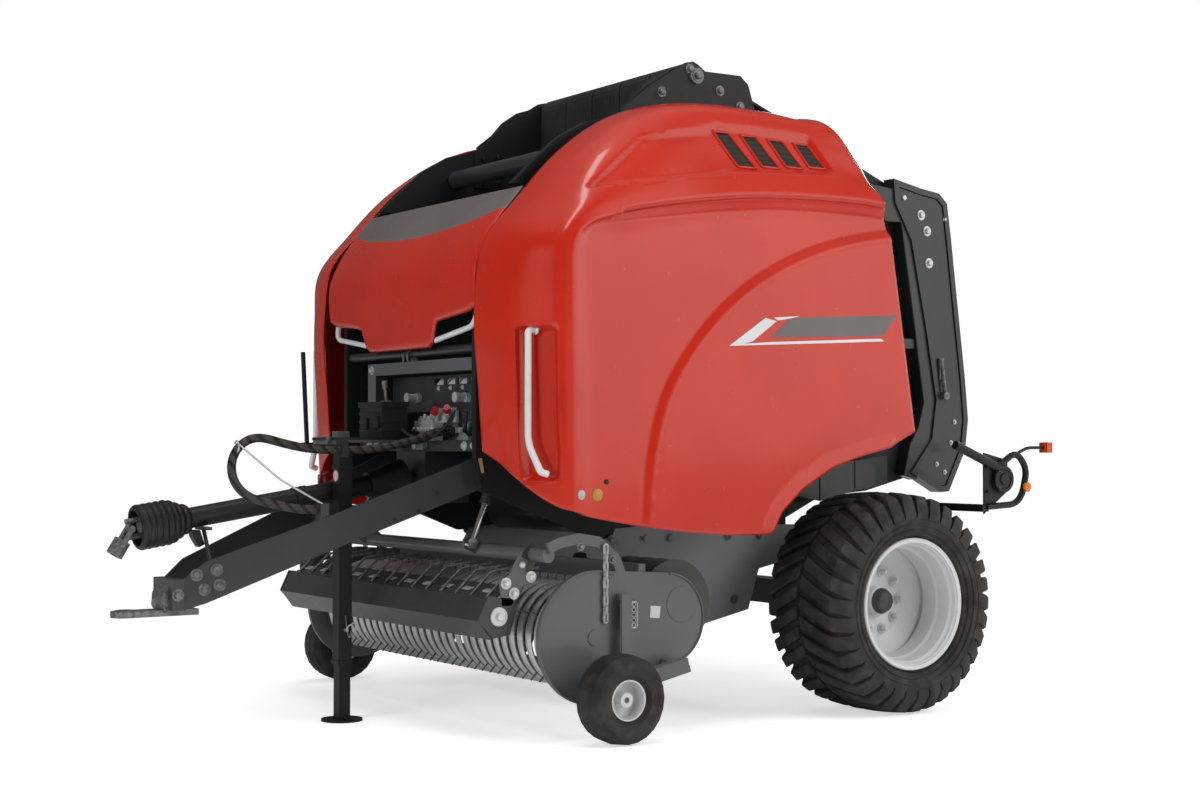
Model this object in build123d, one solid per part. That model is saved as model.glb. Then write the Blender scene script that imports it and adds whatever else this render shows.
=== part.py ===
from build123d import *
import os
from math import cos, degrees, hypot, pi, radians, sin, tan

# A towed round baler on its parking jack, in millimetres.
# X is to the machine's left, Y to its rear and Z up. Every place below is measured from
# the main axle's line on the ground; put() then moves the whole to the middle of its length.

# Overall reach from the main axle
HITCH_REACH = 3265
REAR_REACH = 1165
AXLE_STATION = (HITCH_REACH - REAR_REACH) / 2

# Fits
FACE_GAP = 0.3
RUNNING_FIT = 0.05
MOVING_GAP = 6

# Main wheels, 500/45-22.5 on 16 inch rims
TYRE_RADIUS = 505
TYRE_WIDTH = 500
WHEEL_TRACK = 2270
RIM_RADIUS = 286
RIM_FLANGE_RADIUS = 300
RIM_WIDTH = 450
RIM_WALL = 12
HUB_RADIUS = 66
HUB_OUT = 14
SPINDLE_RADIUS = 35
TYRE_FLATS = 32
LUG_DEPTH = 26
LUG_COUNT = 22
LUG_WIDTH = 52
LUG_LEAN = 33
LUG_GAP = 16

# Gauge wheels of the pick-up, 15x6.00-6
GAUGE_RADIUS = 187
GAUGE_WIDTH = 150
GAUGE_RIM_RADIUS = 84
GAUGE_X = 1297
GAUGE_Y = -1574
GAUGE_PIN_RADIUS = 12.5
GAUGE_FLATS = 24

# Axle and chassis
AXLE_BEAM = 120
AXLE_BEAM_HALF = 850
CHASSIS_PLATE = 12

# Chamber side walls and tailgate
WALL_INNER = 605
WALL = 35
WALL_OUTER = WALL_INNER + WALL
SEAM_Y = -150
SEAM_GAP = 5
TAILGATE_HINGE = (-50, 2680)
TAILGATE_PIN_RADIUS = 30
BELT_COUNT = 5
BELT_PITCH = 240
BELT_WIDTH = 232
BELT = 10
ROLLER_RADIUS = 60

# Red covers and hood
COVER_INNER = 738
COVER_SHOULDER = 950
COVER_OUTER = 1162
COVER_WALL = 30
DOOR_HINGE_X = 770
DOOR_HINGE_Z = 2690
DOOR_PIN_RADIUS = 12
DOOR_HINGE_FRONT = -900
DOOR_HINGE_REAR = -285
DOOR_BRACKET = 58
HOOD_HALF = 712
HOOD_WALL = 25
HOOD_PIN = (-1650, 2270)
HOOD_PIN_RADIUS = 12
HANDLE_X = 1020
HANDLE_SEAT = -1815
HANDLE_RADIUS = 12
TOP_ARM = 12

# Pick-up
REEL_AXIS = (-1570, 420)
REEL_RADIUS = 260
REEL_HALF = 1020
BAND_RADIUS = 216
BAND = 6
BAND_COUNT = 30
BAND_WIDTH = 44
TINE_ROWS = 5
TINE = 8
ROTOR_AXIS = (-1120, 540)
ROTOR_RADIUS = 190
PICKUP_SIDE_INNER = 1085
PICKUP_SIDE = 15
DISC_RADIUS = 283

# Chain on the pick-up's side
CHAIN_OUT = 13
CHAIN_Y = -1523
CHAIN_TOP = 806
CHAIN_WIRE = 8
CHAIN_LINK = 36
CHAIN_COUNT = 9

# Wind guard
GUARD_TUBE = (-1790, 770)
GUARD_TUBE_RADIUS = 30
GUARD_ROLLER = (-1966, 519)
GUARD_ROLLER_RADIUS = 48
GUARD_HALF = PICKUP_SIDE_INNER - 107
GUARD_ROD = 10
GUARD_ROD_COUNT = 15

# Drawbar, jack and drive shaft
DRAWBAR_REAR_HALF = 547
DRAWBAR_FRONT_HALF = 112
DRAWBAR_REAR_Y = -1600
DRAWBAR_FRONT_Y = -2990
DRAWBAR_PLATE = 14
EYE_RADIUS = 25
EYE_OUTER = 60
EYE_THICK = 25
EYE_BOTTOM = 506
JACK_X = 45
JACK_Y = -2222
JACK_SLEEVE = 64
JACK_SLEEVE_WALL = 4
JACK_LEG = 55.2
JACK_FOOT_RADIUS = 92
JACK_FOOT = 10
SHAFT_X = -45
SHAFT_REAR = (-1850, 1078)
SHAFT_FRONT = (-3120, 880)
GUARD_TUBE_OUT = 45
GUARD_TUBE_WALL = 5
SHAFT_RADIUS = 25
YOKE_BORE_RADIUS = 17.45
BELL_RIBS = [0.935, 0.955, 0.975, 0.995]

# Hose bundle
HOSE_RADIUS = 19
HOSE_GUIDE = (150, -2290, 1206)
HOSE_CLAMP = (250, -2440, 950)

# Tailgate cylinders: (y, z) of the base pin and of the rod's eye with the gate shut
GATE_BASE = (-420, 1250)
GATE_EYE = (330, 2240)
GATE_CYLINDER_X = 684
GATE_BARREL_RADIUS = 34
GATE_ROD_RADIUS = 20
GATE_BARREL_LENGTH = 1000
GATE_ROD_START = 100
GATE_PIN_RADIUS = 15

# Pick-up lift cylinders: (y, z) of the top pin and of the rod's eye with the pick-up down
LIFT_TOP = (-1640, 1335)
LIFT_EYE = (-1850, 800)
LIFT_CYLINDER_X = 550
LIFT_BARREL_RADIUS = 24
LIFT_ROD_RADIUS = 13
LIFT_BARREL_LENGTH = 390
LIFT_ROD_START = 215
LIFT_PIN_RADIUS = 12
EYE_PLAY = 0.5

os.makedirs("parts", exist_ok=True)


# Shapes that many pieces share

def side_sketch(outline):
    """Closed outline of (y, z) points, on the plane that looks along X."""
    return Plane.YZ * Polygon(*outline, align=None)


def plate(outline, x_from, x_to):
    """A flat plate or block with a (y, z) outline, between two places along X."""
    return Pos(x_from, 0, 0) * extrude(side_sketch(outline), x_to - x_from, dir=(1, 0, 0))


def block(x_from, x_to, y_from, y_to, z_from, z_to):
    """A square-edged block between three pairs of places."""
    size = (x_to - x_from, y_to - y_from, z_to - z_from)
    middle = ((x_to + x_from) / 2, (y_to + y_from) / 2, (z_to + z_from) / 2)
    return Pos(*middle) * Box(*size)


def rod(start, end, radius):
    """A round bar from one point to another."""
    run = Vector(*end) - Vector(*start)
    return extrude(Plane(origin=start, z_dir=run) * Circle(radius), run.length)


def bar_x(centre, radius, x_from, x_to):
    """A round bar along X at a (y, z) place."""
    return rod((x_from, *centre), (x_to, *centre), radius)


def ring_x(profile):
    """A turned ring about the X axis from an (x, radius) outline."""
    return revolve(Plane.XY * Polygon(*profile, align=None), Axis.X)


def both_sides(piece):
    """The piece and its mirror image across the centre plane."""
    return piece + mirror(piece, about=Plane.YZ)


def strip(points, thickness, x_from, x_to):
    """A bent sheet that follows (y, z) points, with its thickness to the left of the way."""
    near, far = [], []
    for index, (y, z) in enumerate(points):
        ahead = points[min(index + 1, len(points) - 1)]
        behind = points[max(index - 1, 0)]
        into = Vector(y - behind[0], z - behind[1])
        out = Vector(ahead[0] - y, ahead[1] - z)
        if into.length == 0:
            into = out
        if out.length == 0:
            out = into
        bisector = into.normalized() + out.normalized()
        normal = Vector(-bisector.Y, bisector.X).normalized()
        reach = thickness / normal.dot(Vector(-out.Y, out.X).normalized())
        near.append((y, z))
        far.append((y + normal.X * reach, z + normal.Y * reach))
    return plate(near + far[::-1], x_from, x_to)


def round_points(centre, radius, start, end, steps):
    """Points (y, z) just outside a circle, so that the runs between them clear it."""
    turns = [radians(start + (end - start) * step / steps) for step in range(steps + 1)]
    reach = (radius + FACE_GAP) / cos((turns[1] - turns[0]) / 2)
    return [(centre[0] + reach * cos(turn), centre[1] + reach * sin(turn)) for turn in turns]


def put(node, shape):
    """Writes one sub-part, moved to the middle of the machine's length."""
    export_step(Pos(0, AXLE_STATION, 0) * shape, f"parts/{node}.step")


# Main wheels

def flats(stations, sides):
    """A many-sided body about the X axis, with few enough sides for a light mesh."""
    return loft([Pos(x, 0, 0) * (Plane.YZ * RegularPolygon(radius, sides))
                 for x, radius in stations], ruled=True)


def tyre(radius, width, bore, bead, crown, sides):
    """A tyre's ring about the X axis, its beads inside the rim's flanges."""
    half = width / 2
    tread = half - crown
    outside = flats([(-half, radius - 2 * crown), (-tread, radius - crown / 3), (0, radius),
                     (tread, radius - crown / 3), (half, radius - 2 * crown)], sides)
    snug = bore / cos(pi / sides)
    flare = snug + (half - bead) + crown / 2
    inside = flats([(-half - 1, flare), (-bead, snug + crown / 2), (-bead + 1, snug),
                    (bead - 1, snug), (bead, snug + crown / 2), (half + 1, flare)], sides)
    return outside - inside


def lug(radius, half, crown, side):
    """One slanted lug from near the tread's middle down over its shoulder."""
    sections = []
    crest = LUG_WIDTH / 2 - 4
    for x, reach in ((LUG_GAP / 2, radius), (half - crown, radius - crown / 3),
                     (half + 0.5, radius - 2 * crown)):
        turn = degrees(x * tan(radians(LUG_LEAN)) / radius)
        top = (reach ** 2 - crest ** 2) ** 0.5
        root = top - LUG_DEPTH - 14
        outline = Plane.YZ * Polygon((-LUG_WIDTH / 2, root), (LUG_WIDTH / 2, root),
                                     (crest, top), (-crest, top), align=None)
        sections.append(Pos(side * x, 0, 0) * Rot(turn, 0, 0) * outline)
    return loft(sections, ruled=True)


def lugged_tyre(radius, width, bore, bead, crown):
    """A ring with two rows of slanted lugs out to its radius, half a pitch apart."""
    lugs = []
    for side in (-1, 1):
        first = lug(radius, width / 2, crown, side)
        for index in range(LUG_COUNT):
            lugs.append(Rot((index + side / 4) * 360 / LUG_COUNT, 0, 0) * first)
    return tyre(radius - LUG_DEPTH, width - 12, bore, bead, crown, TYRE_FLATS) + lugs


def main_rim():
    """Rim barrel, flanges, dished disc and hub, with the outer side towards +X."""
    half = RIM_WIDTH / 2
    inner = RIM_RADIUS - RIM_WALL
    barrel = [(-half, inner + 6), (-half, RIM_FLANGE_RADIUS), (-half + 12, RIM_FLANGE_RADIUS)]
    barrel += [(-half + 12, RIM_RADIUS), (half - 12, RIM_RADIUS), (half - 12, RIM_FLANGE_RADIUS)]
    barrel += [(half, RIM_FLANGE_RADIUS), (half, inner + 6), (half - 30, inner), (-half + 30, inner)]
    disc = [(0, inner + 2), (12, inner + 2), (-38, 170), (-38, HUB_RADIUS - 2), (-50, HUB_RADIUS - 2)]
    disc += [(-50, 170)]
    hub = [(-100, SPINDLE_RADIUS + RUNNING_FIT), (-100, HUB_RADIUS + 20), (-50, HUB_RADIUS + 20)]
    hub += [(-50, HUB_RADIUS), (0, HUB_RADIUS), (HUB_OUT, HUB_RADIUS - 10), (HUB_OUT, 0), (-15, 0)]
    hub += [(-15, SPINDLE_RADIUS + RUNNING_FIT)]
    return ring_x(barrel) + ring_x(disc) + ring_x(hub)


def main_wheels():
    tyre_ring = lugged_tyre(TYRE_RADIUS, TYRE_WIDTH, RIM_RADIUS + FACE_GAP, RIM_WIDTH / 2 - 12.5, 40)
    rim = main_rim()
    place = Pos(WHEEL_TRACK / 2, 0, TYRE_RADIUS)
    put("tyre_left", place * tyre_ring)
    put("rim_left", place * rim)
    put("tyre_right", mirror(place * tyre_ring, about=Plane.YZ))
    put("rim_right", mirror(place * rim, about=Plane.YZ))


def axle():
    """Square beam under the chassis with a turned spindle in each hub."""
    half = AXLE_BEAM / 2
    beam = block(-AXLE_BEAM_HALF, AXLE_BEAM_HALF, -half, half, TYRE_RADIUS - half, TYRE_RADIUS + half)
    hub_end = WHEEL_TRACK / 2 - 20
    spindle = bar_x((0, TYRE_RADIUS), SPINDLE_RADIUS, AXLE_BEAM_HALF, hub_end)
    collar = bar_x((0, TYRE_RADIUS), SPINDLE_RADIUS + 20, AXLE_BEAM_HALF, WHEEL_TRACK / 2 - 106)
    return beam + both_sides(spindle + collar)


# Chamber walls and chassis

WALL_OUTLINE = [
    (SEAM_Y - SEAM_GAP, 830), (-1000, 830), (-1250, 800), (-1480, 890), (-1850, 1030),
    (-1880, 1190), (-1880, 1980), (-1840, 2080), (-1770, 2180), (-1692, 2240),
    (-1692, 2284), (-1664, 2310), (-1565, 2305), (-1585, 2375), (-1700, 2378),
    (-1571, 2501), (-1458, 2601), (-1314, 2683), (-1139, 2729), (-1109, 2753),
    (-990, 2888), (-899, 2949), (-808, 2979), (-640, 2985), (-430, 2975),
    (-347, 2822), (SEAM_Y - SEAM_GAP, 2795),
]
CHASSIS_OUTLINE = [
    (200, 840), (-993, 860), (-1150, 850), (-1270, 620), (-1270, 400), (-1000, 400),
    (-680, 390), (-395, 450), (-330, 640), (-130, 680), (-100, TYRE_RADIUS + AXLE_BEAM / 2),
    (100, TYRE_RADIUS + AXLE_BEAM / 2), (130, 680), (200, 760),
]
APEX_OUTLINE = [
    (-1131, 2700), (-1131, 2753), (-963, 2885), (-760, 3012), (-718, 3022), (-690, 3012),
    (-646, 2983), (-437, 2985), (-389, 2947), (-347, 2822), (-347, 2650), (-700, 2600),
]


def side_walls():
    """The two fixed chamber walls, with the tailgate's hinge ears and pins outside them."""
    wall = plate(WALL_OUTLINE, WALL_INNER, WALL_OUTER)
    wall -= bar_x(HOOD_PIN, HOOD_PIN_RADIUS + FACE_GAP, WALL_INNER - 1, WALL_OUTER + 1)
    y, z = TAILGATE_HINGE
    ear_from = WALL_OUTER + MOVING_GAP
    ear = plate([(-222, z - 160), (y + 40, z - 60), (y + 60, z), (y + 40, z + 50), (-222, z + 90)],
                ear_from, ear_from + 25)
    foot = plate([(-222, z - 160), (-165, z - 130), (-165, z + 75), (-222, z + 90)],
                 WALL_OUTER, ear_from)
    pin = bar_x(TAILGATE_HINGE, TAILGATE_PIN_RADIUS, WALL_INNER, ear_from + 25)
    gate_pin = bar_x(GATE_BASE, GATE_PIN_RADIUS, WALL_OUTER, GATE_CYLINDER_X + 20)
    gate_pin += bar_x(GATE_BASE, 30, WALL_OUTER, GATE_CYLINDER_X - 16)
    lift_pin = bar_x(LIFT_TOP, LIFT_PIN_RADIUS, LIFT_CYLINDER_X - 16, WALL_INNER)
    lift_pin += bar_x(LIFT_TOP, 25, LIFT_CYLINDER_X + 16, WALL_INNER)
    return both_sides(wall + ear + foot + pin + gate_pin + lift_pin)


def chassis():
    """Lower side plates, the cross beam between them and the sleeves the pick-up swings on."""
    side = plate(CHASSIS_OUTLINE, WALL_OUTER, WALL_OUTER + CHASSIS_PLATE)
    sleeve = bar_x(ROTOR_AXIS, 70, WALL_OUTER, WALL_OUTER + CHASSIS_PLATE + 50)
    side += sleeve
    side -= bar_x(ROTOR_AXIS, SPINDLE_RADIUS + RUNNING_FIT, WALL_OUTER - 1, WALL_OUTER + 90)
    beam = block(-WALL_OUTER, WALL_OUTER, -760, -680, 400, 480)
    return both_sides(side) + beam


def top_arms():
    """Belt tension arm plates that carry the apex roller, outside the walls."""
    return both_sides(plate(APEX_OUTLINE, WALL_OUTER, WALL_OUTER + TOP_ARM))


FRONT_ROLLERS = [
    # y, z, radius
    (-700, 2955, ROLLER_RADIUS),
    (-1276, 2567, 45),
    (-1000, 900, 95),
    (-780, 892, 60),
    (-620, 2380, 60),
]


def fixed_rollers():
    """Rollers between the fixed walls: apex, net, starter, floor and upper."""
    rollers = Part()
    for y, z, radius in FRONT_ROLLERS:
        rollers += bar_x((y, z), radius, -WALL_INNER + 3, WALL_INNER - 3)
        rollers += bar_x((y, z), 20, -WALL_INNER, WALL_INNER)
    return rollers


def belt_bank(points):
    """Five flat belts side by side along one (y, z) route."""
    belts = Part()
    for index in range(BELT_COUNT):
        middle = (index - (BELT_COUNT - 1) / 2) * BELT_PITCH
        belts += strip(points, BELT, middle - BELT_WIDTH / 2, middle + BELT_WIDTH / 2)
    return belts


def belts():
    """The fixed run: up to the apex roller, round it and back towards the hinge."""
    apex = round_points((-700, 2955), ROLLER_RADIUS, 180, 74, 5)
    return belt_bank([(-765, 2300)] + apex + [(-110, 2796)])


# Tailgate

TAILGATE_OUTLINE = [
    (SEAM_Y, 880), (60, 975), (360, 1000), (617, 1061), (760, 1240), (840, 1560),
    (800, 1975), (750, 2300), (640, 2470), (500, 2545), (20, 2735), (-50, 2760), (-108, 2735),
    (SEAM_Y, 2640),
]
RIM_OUTER = [
    (488, 2561), (672, 2525), (798, 2509), (854, 2461), (881, 2282), (921, 1975), (976, 1563),
    (996, 1357), (974, 1202), (859, 992), (803, 988),
]
CHANNEL_FLANGE = 30
CHANNEL_DEPTH = 45
RIM_SEAM = [
    (600, 1090), (743, 1256), (775, 1456), (708, 1809), (608, 2259), (500, 2440),
]


def tailgate_walls():
    wall = plate(TAILGATE_OUTLINE, WALL_INNER, WALL_OUTER)
    wall -= bar_x(TAILGATE_HINGE, TAILGATE_PIN_RADIUS + RUNNING_FIT, WALL_INNER - 1, WALL_OUTER + 1)
    wall += bar_x(GATE_EYE, 30, WALL_OUTER, GATE_CYLINDER_X - 16)
    return both_sides(wall)


def tailgate_frame():
    """Deep channels round the tailgate's rear edge, tied by cross beams."""
    rim = plate(RIM_OUTER + RIM_SEAM, WALL_OUTER, WALL_OUTER + 75)
    pocket = offset(side_sketch(RIM_OUTER + RIM_SEAM), amount=-CHANNEL_FLANGE)
    rim -= Pos(WALL_OUTER + 75 - CHANNEL_DEPTH, 0, 0) * extrude(pocket, 100, dir=(1, 0, 0))
    beams = Part()
    for y, z in [(930, 1250), (880, 2000), (760, 2440)]:
        beams += block(-WALL_OUTER, WALL_OUTER, y - 35, y + 35, z - 35, z + 35)
    return both_sides(rim) + beams


REAR_ROLLERS = [
    # y, z, radius
    (510, 2490, 55),
    (735, 2250, 55),
    (800, 1330, 55),
    (600, 1130, 55),
    (-30, 2640, 45),
]


def tailgate_rollers():
    rollers = Part()
    for y, z, radius in REAR_ROLLERS:
        rollers += bar_x((y, z), radius, -WALL_INNER + 3, WALL_INNER - 3)
        rollers += bar_x((y, z), 20, -WALL_INNER, WALL_INNER)
    return rollers


def tailgate_belts():
    """The rear run: from the hinge over the top roller and down behind the bale."""
    over = round_points((510, 2490), 55, 70, 40, 2)
    down = round_points((735, 2250), 55, 40, 5, 2)
    under = round_points((800, 1330), 55, 0, -35, 2)
    low = round_points((600, 1130), 55, -35, -90, 3)
    return belt_bank([(-50, 2735)] + over + down + under + low)


# Covers and hood

COVER_STATIONS = [COVER_INNER, 850, COVER_SHOULDER, 1020, 1080, 1130, COVER_OUTER]
COVER_LINES = [
    # what, then (x, y, z) along the skin from its inner edge over the shoulder to the side
    ("bottom front", (738, -1905, 1200), (850, -1885, 1150), (950, -1860, 1085),
     (1030, -1835, 1035), (1090, -1800, 995), (1130, -1760, 968), (1158, -1702, 951)),
    ("waist", (738, -1944, 1850), (850, -1925, 1850), (950, -1893, 1850), (1030, -1853, 1850),
     (1090, -1810, 1850), (1135, -1768, 1850), (1158, -1712, 1850)),
    ("brow low", (738, -1905, 2095), (850, -1893, 2090), (950, -1868, 2085), (1030, -1838, 2080),
     (1090, -1800, 2075), (1135, -1758, 2070), (1158, -1705, 2062)),
    ("brow high", (738, -1745, 2290), (850, -1735, 2290), (950, -1712, 2285),
     (1030, -1688, 2270), (1090, -1668, 2245), (1135, -1650, 2215), (1158, -1625, 2160)),
    ("roof front", (738, -1520, 2525), (850, -1508, 2520), (950, -1487, 2508),
     (1030, -1462, 2470), (1090, -1435, 2400), (1135, -1415, 2310), (1158, -1400, 2225)),
    ("roof rise", (738, -1308, 2671), (850, -1290, 2665), (950, -1265, 2640),
     (1030, -1235, 2570), (1090, -1200, 2470), (1135, -1175, 2350), (1158, -1160, 2270)),
    ("roof level", (738, -1090, 2756), (850, -1070, 2748), (945, -1040, 2715),
     (1010, -1000, 2620), (1065, -960, 2500), (1120, -930, 2390), (1158, -900, 2312)),
    ("roof top", (738, -516, 2795), (850, -510, 2785), (940, -505, 2745), (1005, -500, 2640),
     (1060, -495, 2510), (1120, -490, 2410), (1158, -488, 2345)),
    ("roof rear", (738, -57, 2768), (850, -70, 2755), (940, -85, 2705), (1005, -95, 2600),
     (1060, -100, 2490), (1120, -100, 2410), (1158, -100, 2350)),
    ("rear top", (738, 100, 2575), (850, 70, 2560), (940, 50, 2540), (1005, 25, 2500),
     (1060, 12, 2440), (1120, 20, 2390), (1158, 34, 2345)),
    ("rear low", (738, 240, 1300), (950, 225, 1300), (1158, 206, 1290)),
    ("arch rear", (738, -133, 1177), (1158, -133, 1177)),
    ("arch middle", (738, -315, 1123), (1158, -315, 1123)),
    ("arch front", (738, -493, 1026), (1158, -493, 1026)),
    ("arch foot", (738, -609, 929), (1158, -609, 929)),
    ("sill rear", (738, -666, 837), (1158, -666, 837)),
    ("sill", (738, -820, 830), (1158, -820, 830)),
    ("sill front", (738, -1321, 876), (1158, -1321, 876)),
]
COVER_HOLLOW = [
    # how far each of those lines moves for the hollow inside: y, z
    (COVER_WALL, -400), (COVER_WALL, 0), (COVER_WALL, -8), (24, -22), (20, -COVER_WALL),
    (12, -COVER_WALL), (8, -COVER_WALL), (0, -COVER_WALL), (40, -COVER_WALL), (150, -COVER_WALL),
    (200, -400), (100, -400), (0, -400), (0, -400), (0, -400), (0, -400), (0, -400), (0, -400),
]
VENT_COUNT = 4
VENT_DEPTH = 16


def line_at(points, x):
    """The (y, z) place where a line of (x, y, z) points passes x."""
    for near, far in zip(points, points[1:]):
        if x <= far[0] or far is points[-1]:
            share = min((x - near[0]) / (far[0] - near[0]), 1)
            return (near[1] + (far[1] - near[1]) * share, near[2] + (far[2] - near[2]) * share)


def cover_loft(shift, inward):
    """The cover's form through its side outlines, each line moved by its shift and inwards."""
    stations = []
    for x in COVER_STATIONS:
        outline = []
        for (what, *points), (move_y, move_z) in zip(COVER_LINES, shift):
            y, z = line_at(points, x)
            outline.append((y + move_y, z + move_z))
        stations.append(Pos(x - inward, 0, 0) * side_sketch(outline))
    return loft(stations, ruled=True)


def vents():
    """Slanted pockets in the slope over the wheel, for the covers' air vents."""
    pockets = Part()
    slope = Plane(origin=(1000, -500, 2640), x_dir=(0, 1, 0), z_dir=(230, 0, 115))
    for index in range(VENT_COUNT):
        y = index * 150 - 310
        outline = slope * Polygon((y - 50, 0), (y + 35, 0), (y + 110, -170), (y + 20, -170),
                                  align=None)
        pockets += Pos(50, 0, 25) * extrude(outline, 50 + VENT_DEPTH, dir=(-230, 0, -115))
    return pockets


def cover():
    """One side door: a hollow shell over the wheel's front, open inwards and to the rear."""
    outside = cover_loft([(0, 0)] * len(COVER_LINES), 0)
    inside = cover_loft(COVER_HOLLOW, COVER_WALL)
    shell = outside - inside
    shell -= handle_recess()
    shell -= vents()
    for y in (DOOR_HINGE_FRONT, DOOR_HINGE_REAR):
        reach = DOOR_BRACKET + 10
        shell -= block(COVER_INNER - 1, DOOR_HINGE_X + 8, y - reach, y + reach, DOOR_HINGE_Z - 60,
                       DOOR_HINGE_Z + 120)
        knuckle = block(DOOR_HINGE_X - 24, DOOR_HINGE_X + 24, y - 30, y + 30, DOOR_HINGE_Z - 24,
                        DOOR_HINGE_Z + 90)
        shell += knuckle & outside
        shell -= rod((DOOR_HINGE_X, y - 31, DOOR_HINGE_Z), (DOOR_HINGE_X, y + 31, DOOR_HINGE_Z),
                     DOOR_PIN_RADIUS + RUNNING_FIT)
    return shell


def handle_recess():
    """Pocket in the front corner behind the grab bar."""
    face = Plane.XZ * Polygon((HANDLE_X - 45, 1720), (HANDLE_X + 105, 1690), (HANDLE_X + 105, 1060),
                              (HANDLE_X - 10, 1110), (HANDLE_X - 35, 1200), align=None)
    return Pos(0, HANDLE_SEAT, 0) * extrude(face, 200, dir=(0, -1, 0))


def door_hinges():
    """Brackets on the side walls with the pins that the covers turn on."""
    hinges = Part()
    z = DOOR_HINGE_Z
    for y, seat in ((DOOR_HINGE_FRONT, WALL_OUTER + TOP_ARM), (DOOR_HINGE_REAR, WALL_OUTER)):
        hinges += rod((DOOR_HINGE_X, y - 58, z), (DOOR_HINGE_X, y + 58, z), DOOR_PIN_RADIUS)
        for side in (-1, 1):
            mid = y + side * 48
            hinges += block(seat, DOOR_HINGE_X + 14, mid - 10, mid + 10, z - 30, z + 14)
        hinges += block(seat, seat + 10, y - DOOR_BRACKET, y + DOOR_BRACKET, z - 30, z + 14)
    return both_sides(hinges)


def door_handle():
    """Bright grab bar down the front corner, bent outwards at its foot."""
    bend = (HANDLE_X, HANDLE_SEAT - 30, 1230)
    foot = (HANDLE_X + 80, HANDLE_SEAT - 20, 1112)
    grip = rod((HANDLE_X, HANDLE_SEAT - 30, 1700), bend, HANDLE_RADIUS)
    grip += rod(bend, foot, HANDLE_RADIUS)
    grip += Pos(*bend) * Sphere(HANDLE_RADIUS)
    for x, reach, z in ((HANDLE_X, 30, 1685), (HANDLE_X + 72, 22, 1124)):
        grip += rod((x, HANDLE_SEAT - reach, z), (x, HANDLE_SEAT - FACE_GAP, z), HANDLE_RADIUS - 3)
    return grip


HOOD_OUTLINE = [
    (-1910, 1665), (-1927, 1866), (-1925, 2008), (-1885, 2104), (-1812, 2216), (-1705, 2345),
]


def hood():
    """Bonnet between the covers, with its lower centre tab and hinge ears."""
    panel = strip(HOOD_OUTLINE, -HOOD_WALL, -HOOD_HALF, HOOD_HALF)
    notch = Plane.XZ * Polygon((365, 1775), (HOOD_HALF + 1, 1800), (HOOD_HALF + 1, 1600),
                               (320, 1600), (320, 1665), align=None)
    panel -= both_sides(Pos(0, -1800, 0) * extrude(notch, 200, dir=(0, -1, 0)))
    ears = plate([(-1690, 2250), (-1700, 2320), (-1640, 2290), (-1630, 2262), (-1650, 2245)],
                 565, 590)
    ears -= bar_x(HOOD_PIN, HOOD_PIN_RADIUS + RUNNING_FIT, 560, 600)
    return panel + both_sides(ears)


def hood_handles():
    """Bright bent grab rails below the hood, each side of its tab."""
    rails = rod((672, -1904, 1815), (652, -1904, 1735), 10) + Pos(652, -1904, 1735) * Sphere(10)
    rails += rod((652, -1904, 1735), (310, -1900, 1690), 10)
    return both_sides(rails) - hood()


LOUVRES = [105, 212, 318, 424]


def front_frame():
    """Cross tubes, the hoop behind them and the hood's hinge bar."""
    frame = bar_x((-1850, 1651), 22, -WALL_INNER, WALL_INNER)
    frame += block(-380, WALL_INNER, -1880, -1820, 1555, 1610)
    frame += block(-380, -300, -1880, -1820, 1250, 1560)
    frame += bar_x(HOOD_PIN, HOOD_PIN_RADIUS, -WALL_OUTER, WALL_OUTER)
    frame += block(-300, WALL_INNER, -1790, -1780, 1380, 1545)
    for x in LOUVRES:
        frame -= block(x, x + 88, -1791, -1779, 1502, 1530)
    frame += block(-WALL_INNER, WALL_INNER, -1810, -1740, 1200, 1250)
    return frame


# Pick-up, reel, wind guard and rotor

def chain():
    """Short chain that hangs between two hooks on the pick-up's side."""
    x = PICKUP_SIDE_INNER + PICKUP_SIDE + CHAIN_OUT
    wire, end = CHAIN_WIRE, CHAIN_LINK / 2 + CHAIN_WIRE
    step = CHAIN_LINK - 0.5
    flat_side, corner = end - wire, 1.5 * wire
    link = Polygon((-corner, -flat_side), (-wire / 2, -end), (wire / 2, -end),
                   (corner, -flat_side), (corner, flat_side), (wire / 2, end),
                   (-wire / 2, end), (-corner, flat_side), align=None)
    link -= Rectangle(wire, CHAIN_LINK)
    links = Part()
    for index in range(CHAIN_COUNT):
        plane = Plane.XZ if index % 2 else Plane.YZ
        z = CHAIN_TOP - (index + 0.5) * step
        links += Pos(x, CHAIN_Y, z) * extrude(plane * link, wire / 2, both=True)
    for z in (CHAIN_TOP - wire / 2, CHAIN_TOP - CHAIN_COUNT * step + wire / 2):
        links += block(PICKUP_SIDE_INNER + 4, x + wire, CHAIN_Y - wire / 2, CHAIN_Y + wire / 2,
                       z - wire / 2, z + wire / 2)
    return links


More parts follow.
